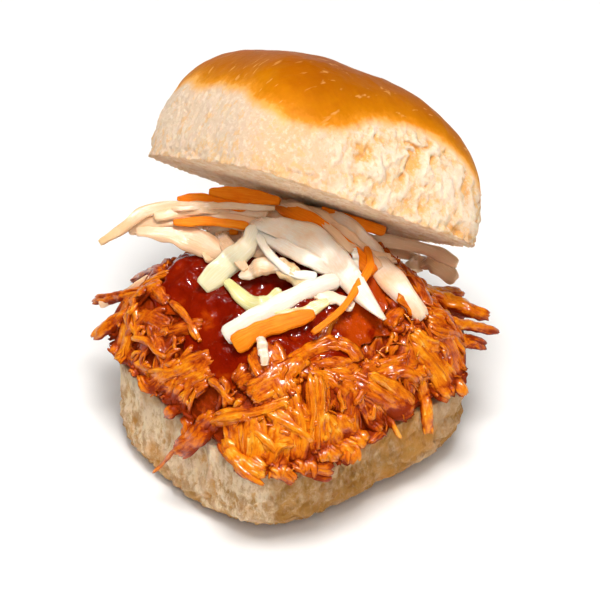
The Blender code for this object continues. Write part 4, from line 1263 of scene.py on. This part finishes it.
slaw = {
    "centre": (-8.0, 7.0),
    "radius": 17.0,
    "height": 6.0,
    "floor": 2.6,
    "carrotPower": 3.6,  # superellipse powers of the strips' sections
    "cabbagePower": 3.0,
    "carrotThick": 1.4,
    "cabbageThick": 0.9,
    "stations": 44,
    "around": 20,
    "fill": 70,
    "fillLength": (12, 22),
    "fillWidth": (1.8, 4.4),
    # sauce stain of the loose strips, which also darkens them to tan as painted shade
    "fillStainAndShade": (0.3, 1.0),
    "fillGreen": (-0.2, 0.4),
    "seed": 29,
    # strips that stick out or lie under the tipped half: places along each in mm, widths at its start,
    # middle and end, thickness, ruffle, green at its start and end, stain, partly painted shade, and kind
    "strips": (
        (((-38, -30, 51), (-36, -24, 54), (-35, -18, 57), (-31, -11, 57.5), (-22, -1, 57)),
         (2.4, 2.8, 2.0), 0.8, 0.5, (0.9, -0.6), 0.5, "cabbage"),
        (((-33, -17, 56), (-28, -9, 58), (-22, -2, 57.5)),
         (2.4, 4.0, 2.4), 0.8, 0.5, (0.4, 0.1), 0.8, "cabbage"),
        (((-37, -22, 51.5), (-31, -14, 55), (-24, -6, 56), (-15, 1, 56)),
         (2.4, 4.4, 3.4), 0.8, 0.5, (0.0, 0.0), 0.9, "cabbage"),
        (((-35, -21, 52.5), (-29, -15, 53), (-22, -11, 52), (-15, -8, 50)),
         (4.0, 6.0, 3.6), 0.8, 0.6, (0.0, 0.0), 0.75, "cabbage"),
        (((-34, -9, 57), (-28, -4, 58), (-20, 2, 58)), (1.4, 3.2, 2.6), 1.4, 0.0, (0, 0), 0.5, "carrot"),
        (((-29, -3, 59.5), (-23, 2, 60), (-15, 8, 60)), (2.0, 3.4, 2.2), 1.4, 0.0, (0, 0), 0.7, "carrot"),
        (((-31, -13, 57.6), (-23, -4, 59.4), (-13, 5, 60.5)),
         (1.2, 2.0, 1.2), 0.8, 0.3, (0.1, 0.1), 0.5, "cabbage"),
        (((-33, -12, 55), (-25, -3, 57), (-15, 4, 58)),
         (2.0, 3.6, 2.6), 0.9, 0.5, (0.0, 0.2), 0.4, "cabbage"),
        (((-6, 24, 46), (-2, 33, 43), (5, 40, 41), (12, 42, 41)),
         (2.4, 3.6, 2.4), 0.8, 0.8, (0.1, 0.1), 0.9, "cabbage"),
        (((-29, -14, 55.2), (-23, -7, 56), (-16, -1, 56)), (1.6, 2.4, 2.0), 1.3, 0.0, (0, 0), 0.8, "carrot"),
        (((-30, 6, 50), (-20, 10, 54), (-8, 10, 57)), (3.0, 4.2, 3.4), 0.9, 0.5, (0.2, 0.1), 0.6, "cabbage"),
        (((-12, 23, 48), (-9, 18, 52), (-4, 10, 57)), (3.0, 4.2, 3.4), 0.9, 0.4, (0.0, 0.0), 0.6, "cabbage"),
        (((-29, -3, 47), (-20, 4, 52), (-12, 12, 57)), (3.4, 4.4, 3.4), 0.9, 0.4, (0.3, 0.2), 0.5, "cabbage"),
        (((-9, 16, 57), (-3, 22, 55), (1, 28, 51)), (3.0, 3.4, 2.6), 1.5, 0.0, (0, 0), 0.3, "carrot"),
    ),
    # strips placed by the pixels that they pass, lying on the mound, with their lift above it first; the
    # one that hangs out past the rim has its places in mm
    "seen": (
        (((332, 257), (345, 261), (365, 268), (383, 276), (396, 288), (406, 303), (422, 321)),
         2.6, (5.4, 7.8, 2.0), 1.0, 0.9, (0, 0), 0.1, "cabbage"),
        (((350, 270), (364, 279), (379, 287), (392, 294)),
         1.4, (3, 4.4, 2.6), 0.9, 0.4, (0, 0), 0.1, "cabbage"),
        (((351, 270), (357, 283), (369, 294), (384, 297)),
         2.0, (1.8, 2.4, 2.2), 1.0, 0.1, (0, 0), 0.0, "cabbage"),
        (((352, 269), (346, 280), (335, 290), (321, 303)),
         2.4, (5.2, 5.6, 5.6), 1.0, 0.3, (0.2, 0.65), 0.0, "cabbage"),
        (((318, 264), (330, 275), (345, 293)), 1.8, (4.2, 3.6, 2.2), 0.8, 0.4, (0, 0), 0.55, "cabbage"),
        (((334, 299), (342, 307), (351, 312), (358, 310), (364, 305)),
         1.0, (2.8, 4, 2.6), 1.0, 0.2, (1, 0.9), 0.0, "cabbage"),
        (((343, 297), (353, 291), (366, 291)), 1.0, (2.4, 4.4, 3.4), 1.5, 0.2, (0.1, 0.1), 0.4, "cabbage"),
        (((334, 331), (356, 317), (376, 306), (396, 299)),
         2.2, (4.8, 5.2, 4.6), 1.6, 0.15, (0, 0), -0.2, "cabbage"),
        (((360, 319), (374, 318), (390, 311)), 0.8, (2.4, 3.4, 2.4), 0.9, 0.3, (0.9, 0.9), 0.1, "cabbage"),
        (((353, 330), (355, 339), (356, 346)), 3.4, (2.2, 2.4, 2.2), 1.0, 0.0, (0, 0), 0.2, "cabbage"),
        (((382, 256), (396, 265), (408, 275), (418, 287), (428, 301), (444, 320)),
         1.8, (3.0, 6.0, 5.2), 0.9, 0.8, (0, 0), 0.35, "cabbage"),
        (((346, 255), (355, 252), (365, 252)), 2.6, (1.4, 1.9, 1.0), 0.8, 0.1, (0.1, 0.1), 0.2, "cabbage"),
        (((358, 254), (374, 259), (388, 267), (404, 283)),
         2.0, (2, 2.8, 2), 0.9, 0.3, (0, 0), 0.7, "cabbage"),
        (((405, 281), (406, 288), (406, 297)), 3.2, (1.8, 1.8, 1.2), 0.8, 0.0, (0, 0), -0.2, "cabbage"),
        (((-38.6, -30, 30.6), (-35.8, -25, 33), (-31.6, -20, 39)),
         0, (1.8, 2.2, 1.6), 0.8, 0.3, (0, 0), 0.7, "cabbage"),
        # these strips under the tipped half are darkened to tan by a high stain, as painted shade
        (((402, 266), (420, 274), (438, 281)), 0.6, (2.0, 3.0, 2.0), 0.9, 0.5, (0, 0), 1.2, "cabbage"),
        (((411, 272), (425, 280), (442, 286)), 1.0, (2.0, 2.8, 2.0), 0.9, 0.5, (0, 0), 1.0, "cabbage"),
        (((392, 268), (406, 279), (420, 293)), 1.2, (2.2, 3.6, 2.2), 0.9, 0.5, (0, 0), 0.9, "cabbage"),
        (((398, 277), (414, 284), (432, 288)), 1.8, (2.0, 2.8, 2.0), 0.9, 0.4, (0, 0), 1.2, "cabbage"),
        (((366, 254), (384, 262), (398, 272)), 1.4, (2.0, 3.4, 2.0), 0.9, 0.4, (0, 0), 1.1, "cabbage"),
        (((362, 289), (370, 295), (379, 303)), 1.0, (3.8, 4.6, 3.8), 0.9, 0.3, (0.6, 0.6), 0.3, "cabbage"),
        (((383, 306), (394, 309), (405, 313)), 1.6, (3.0, 3.8, 3.0), 1.0, 0.3, (0, 0), 0.2, "cabbage"),
        (((436, 291), (449, 287), (463, 284)), 1.2, (2.6, 5.0, 3), 0.8, 0.9, (0, 0), 0.65, "cabbage"),
        (((362, 257), (380, 266), (395, 276), (416, 295)), 1.0, (3, 4.4, 4), 1.4, 0.0, (0, 0), 0.4, "carrot"),
        (((382, 328), (398, 315), (408, 301), (414, 291), (412, 281)),
         3.0, (1.6, 2, 2), 1.3, 0.0, (0, 0), 0.7, "carrot"),
        (((339, 336), (350, 329), (364, 324), (382, 319)),
         1.2, (5.4, 4.8, 2.8), 3.0, 0.0, (0, 0), 0.8, "carrot"),
        (((396, 261), (408, 265), (421, 269)), 0.9, (2.2, 2.4, 2.2), 1.4, 0.0, (0, 0), 0.3, "carrot"),
        (((328, 261), (333, 266), (338, 272)), 0.8, (3, 3.4, 3), 1.4, 0.0, (0, 0), 0.5, "carrot"),
    ),
    "white": ((0.91, 0.84, 0.74), (0.84, 0.73, 0.59)),  # each of the two from plain to veined
    "leaf": ((0.78, 0.73, 0.4), (0.64, 0.58, 0.17)),
    # tan of sauce stains, also used as painted shade on strips that lie in shade
    "stainedAndShaded": (0.82, 0.48, 0.24),
    "carrot": ((0.25, (0.72, 0.125, 0.001)), (0.5, (0.88, 0.21, 0.003)), (0.75, (0.95, 0.34, 0.02))),
}


def slawTop(x, y):
    # the pile's top, and over it the mound: floor + height (1 - share^2)^(1/2)
    share = np.hypot(x - slaw["centre"][0], y - slaw["centre"][1]) / slaw["radius"]
    return heapTop(x, y) + slaw["floor"] + slaw["height"] * np.sqrt(np.maximum(1 - share**2, 0))


def smoothPath(places, count):
    # Catmull-Rom curve through the places, at evenly spaced stations
    places = np.array(places, dtype=float)
    padded = np.concatenate([[2 * places[0] - places[1]], places, [2 * places[-1] - places[-2]]])
    along = np.linspace(0, len(places) - 1, count)
    start = np.minimum(along.astype(int), len(places) - 2)
    t = (along - start)[:, None]
    p0, p1, p2, p3 = (padded[start + k] for k in range(4))
    cubic = (2 * p0 - 5 * p1 + 4 * p2 - p3) * t**2 + (3 * p1 - p0 - 3 * p2 + p3) * t**3
    return (2 * p1 + (p2 - p0) * t + cubic) / 2


def ribbonRings(draw, path, widths, thickness, ruffle, boxy, facing):
    # a strip along a path, with its places from -1 to 1 across and along: its section is a flat
    # superellipse, bowed by the square of the distance from its midrib, and ruffled at its edges by a
    # wave that grows in the same way; its width follows a parabola
    t = np.linspace(-1, 1, len(path))[:, None]
    first, middle, last = widths
    width = middle + (last - first) / 2 * t + ((first + last) / 2 - middle) * t * t
    ahead = unit(np.gradient(path, axis=0))
    aside = unit(np.cross(facing + draw.normal(0, 0.12, 3), ahead))
    up = np.cross(ahead, aside)
    angle = draw.normal(0, 0.15) + draw.normal(0, 0.2) * (1 - boxy) * t
    asideTurned = aside * np.cos(angle) + up * np.sin(angle)
    upTurned = up * np.cos(angle) - aside * np.sin(angle)
    turn = ringAngles(slaw["around"])
    power = 2 / slaw["carrotPower" if boxy else "cabbagePower"]
    u, v = (np.sign(side) * np.abs(side) ** power for side in (np.cos(turn), np.sin(turn)))
    uneven = 1 + 0.12 * np.sin(t * draw.uniform(2, 5) + draw.uniform(0, 6))
    uneven = uneven + 0.05 * np.sin(t * 13 + draw.uniform(0, 6))
    across = u * width / 2 * (0.7 + 0.3 * (1 - np.abs(t) ** 14) ** 0.5) * uneven
    path = path + up * (0.45 - 0.3 * boxy) * np.sin(t * draw.uniform(3, 8) + draw.uniform(0, 6))
    phase, rate = draw.uniform(0, 6), draw.uniform(5, 9)
    wave = ruffle * np.sin(rate * t + phase) * np.sign(u)
    bow = (1 - boxy) * width * (0.13 + 0.07 * np.sin(t * 3 + phase))
    vein = 0.2 * np.cos(u * 9) * (1 - boxy) * (v > 0)
    rise = v * thickness / 2 * (1 - 0.35 * (1 - boxy) * u**2) + (wave - bow) * u**2 + vein
    rings = path[:, None] + asideTurned[:, None] * across[..., None] + upTurned[:, None] * rise[..., None]
    return rings, u, t


def fillStrips(draw):
    # loose strips that make up the mound behind and beneath those listed
    laid = []
    for k in range(slaw["fill"]):
        angle = draw.uniform(0, 2 * math.pi)
        share = math.sqrt(draw.uniform(0, 0.85))
        away = np.array([math.cos(angle), math.sin(angle)]) * share * slaw["radius"]
        heading = angle + draw.normal(0, 1.0)
        length = draw.uniform(*slaw["fillLength"])
        level = draw.uniform(0.1, 0.7) * slaw["height"] * math.sqrt(1 - share**2)
        bend = draw.normal(0, 2.5)
        width = draw.uniform(*slaw["fillWidth"], 3)
        green, stainAndShade = draw.uniform(*slaw["fillGreen"]), draw.uniform(*slaw["fillStainAndShade"])
        if away @ viewAxes()[2][:2] > 1:
            continue
        t = np.array([-1, -0.33, 0.33, 1])[:, None]
        ahead = np.array([math.cos(heading), math.sin(heading)])
        aside = np.array([-ahead[1], ahead[0]])
        plan = np.array(slaw["centre"]) + away + ahead * t * length / 2 + aside * bend * (1 - t * t)
        places = raised(plan, heapTop(*plan.T) + slaw["floor"] + level)
        if k % 4 == 0:
            laid.append((places, width * 0.7, slaw["carrotThick"], 0.4, (green, green), stainAndShade, "carrot"))
        else:
            laid.append((places, width, slaw["cabbageThick"], 0.4, (green, green), stainAndShade, "cabbage"))
    return laid


def seenStrips():
    # the strips that are placed by pixel, with points every few pixels cast on the mound
    laid = []
    for pixels, lift, *rest in slaw["seen"]:
        if len(pixels[0]) == 2:
            path = smoothPath([(*pixel, 0) for pixel in pixels], 9)[:, :2]
            laid.append((castTo(lambda x, y: slawTop(x, y) + lift, path), *rest))
        else:
            laid.append((pixels, *rest))
    return laid


def makeSlaw():
    # cabbage and carrot strips, each kind joined in one piece; those listed turn their flat side
    # towards the camera and up, and the others up
    draw = np.random.default_rng(slaw["seed"])
    made = {"cabbage": [], "carrot": []}
    front, upright = viewAxes()[2] * 0.8 + np.array([0, 0, 0.35]), np.array([0, 0, 1.0])
    laid = [(front, *strip) for strip in (*slaw["strips"], *seenStrips())]
    laid += [(upright, *strip) for strip in fillStrips(draw)]
    for facing, places, widths, thickness, ruffle, greens, stainAndShade, kind in laid:
        path = smoothPath(places, slaw["stations"])
        least = heapTop(path[:, 0], path[:, 1]) + slaw["floor"] + thickness / 2
        path[:, 2] = np.maximum(path[:, 2], least)
        path = belowLid(path, thickness / 2 + gaps["strip"])
        boxy = kind == "carrot"
        ruffle = ruffle * (1 - boxy)
        rings, across, along = ribbonRings(draw, path, widths, thickness, ruffle, boxy, facing)
        rings = belowLid(insideBox(rings), gaps["stripEdge"])
        mmAlong = along * arcLength(path) / 2 + draw.uniform(0, 90)
        green = greens[0] * (1 - along) / 2 + greens[1] * (1 + along) / 2
        fields = np.broadcast_arrays(across * max(widths), mmAlong, green, stainAndShade, np.abs(across))
        made[kind].append((rings, np.stack(fields)))
    pieces = []
    for kind, strips in made.items():
        rings, fields = zip(*strips)
        names = "across", "along", "green", "tone", "rim"
        pieces.append(tubeMesh(kind + "Strips", np.stack(rings), dict(zip(names, np.stack(fields, axis=1)))))
    return pieces


def cabbageMaterial():
    paint = Paint("cabbage")
    green, tone = paint.field("green"), paint.field("tone")
    grain = paint.joined(paint.field("along") * 0.09, paint.field("across") * 0.8, tone * 23)
    vein = paint.noise(grain, 2.2, 4, 0.6)
    cloud = paint.noise(paint.place(), 210, 3, 0.6)
    white = paint.blend(paint.between(vein, 0.35, 0.65), *slaw["white"])
    leaf = paint.blend(paint.between(vein, 0.3, 0.7), *slaw["leaf"])
    colour = paint.blend(paint.between(green + (vein - 0.5) * 0.4, 0.1, 1.0), white, leaf)
    edge = paint.between(paint.field("rim"), 0.6, 1.0)
    # sauce stain at the edges and in patches, with painted shade on strips given a high stain
    stainAndShade = paint.between(cloud * 1.3 + vein * 0.3 + tone * 1.1 + edge * 0.12, 0.84, 1.39)
    return paint.finish(
        Base_Color=paint.blend(stainAndShade * 0.8, colour, slaw["stainedAndShaded"]),
        Roughness=0.16 + vein * 0.2,
        Specular_IOR_Level=0.6,
        Subsurface_Weight=0.4,
        Subsurface_Radius=(0.003, 0.0022, 0.0014),
        Normal=paint.bump(vein * 0.6 + cloud * 0.4, 0.0004, 0.5),
    )


def carrotMaterial():
    paint = Paint("carrot")
    tone = paint.field("tone")
    grain = paint.joined(paint.field("along") * 0.12, paint.field("across") * 1.1, tone * 31)
    streak = paint.noise(grain, 2.0, 4, 0.6)
    value = streak * 0.7 + paint.noise(paint.place(), 300, 3) * 0.3 + (tone - 0.5) * 0.15
    return paint.finish(
        Base_Color=paint.ramp(value, slaw["carrot"]),
        Roughness=0.35 + streak * 0.2,
        Specular_IOR_Level=0.12,
        Subsurface_Weight=0.15,
        Subsurface_Radius=(0.003, 0.001, 0.0004),
        Normal=paint.bump(streak, 0.0004, 0.5),
    )


# The stage

studio = {
    "sensor": 36.0,  # mm across
    "clip": 50,
    "floorSide": 14,
    "floorColour": (0.9, 0.9, 0.9),
    "airColour": (1, 0.99, 0.97, 1),
    "airStrength": 0.18,
    "aim": 0.045,  # the lamps face a point this high above the foot's middle, a metre away
    # each lamp's direction as shares of right, up and back, size in metres, watts and colour
    "lamps": {
        "key": ((0.05, 0.6, 0.8), 0.4, 10.0, (1, 0.98, 0.95)),
        "front": ((0.05, 0.05, 1.0), 0.6, 3.3, (1, 0.99, 0.97)),
        "top": ((-0.6, 0.75, 0.3), 0.7, 1.8, (1, 1, 1)),
        "shine": ((0.1, 0.6, 0.8), 0.12, 11.0, (1, 1, 1)),
        "glintLeft": ((-0.35, 0.75, 0.55), 0.06, 5.0, (1, 1, 1)),
        "glintRight": ((0.5, 0.5, 0.7), 0.06, 5.0, (1, 1, 1)),
    },
    "smallBelow": 0.2,  # lamps smaller than this only shine on wet places, and the others only light
}


def stand(name, data, right, up, back, place):
    # a camera or lamp that looks against back from a place, with its right and up as given
    made = bpy.data.objects.new(name, data)
    bpy.context.scene.collection.objects.link(made)
    turned = np.eye(4)
    turned[:3] = np.stack([right, up, back, place], axis=-1)
    made.matrix_world = turned.T
    return made


def makeCamera():
    right, up, back = viewAxes()
    centreX, centreY, side = photo["framePixels"]
    scale = mm / photo["pixelsPerMm"]
    aim = heelMiddle + right * (centreX - photo["heelPixel"][0]) * scale
    aim = aim + up * (photo["heelPixel"][1] - centreY) * scale
    data = bpy.data.cameras.new("camera")
    data.sensor_width = studio["sensor"]
    data.lens = studio["sensor"] * photo["distance"] / (side * scale)
    data.clip_end = studio["clip"]
    camera = stand("camera", data, right, up, back, aim + back * photo["distance"])
    bpy.context.scene.camera = camera


def makeLamp(name, direction, size, power, colour):
    # a round area light
    back = unit(sum(share * axis for share, axis in zip(direction, viewAxes())))
    right = unit(np.cross([0, 0, 1], back))
    data = bpy.data.lights.new(name, "AREA")
    data.shape = "DISK"
    data.size = size
    data.energy = power
    data.color = colour
    place = heelMiddle + np.array([0, 0, studio["aim"]]) + back
    lamp = stand(name, data, right, np.cross(back, right), back, place)
    lamp.visible_glossy = size < studio["smallBelow"]
    lamp.visible_diffuse = not lamp.visible_glossy


def makeStage():
    bpy.ops.mesh.primitive_plane_add(size=studio["floorSide"], location=(0, 0, 0))
    floor = bpy.context.object
    floor.name = "floor"
    floor.data.materials.append(Paint("paleFloor").finish(Base_Color=studio["floorColour"], Roughness=0.7))
    world = bpy.data.worlds.new("studio")
    bpy.context.scene.world = world
    world.use_nodes = True
    air = world.node_tree.nodes["Background"].inputs
    air["Color"].default_value = studio["airColour"]
    air["Strength"].default_value = studio["airStrength"]
    world.cycles_visibility.glossy = False
    for name, lamp in studio["lamps"].items():
        makeLamp(name, *lamp)
    bpy.context.scene.view_settings.view_transform = "Standard"


makeCamera()
makeStage()
print("camera and lights placed")

dress(makeHeel(), heelMaterial(), "heel")
dress(makeCrown(), crownMaterial(), "crown")

makeChicken(chickenMaterial())

dress(makeSauce(), sauceMaterial(), "sauce")

cabbageStrips, carrotStrips = makeSlaw()
dress(cabbageStrips, cabbageMaterial(), "slaw")
dress(carrotStrips, carrotMaterial())
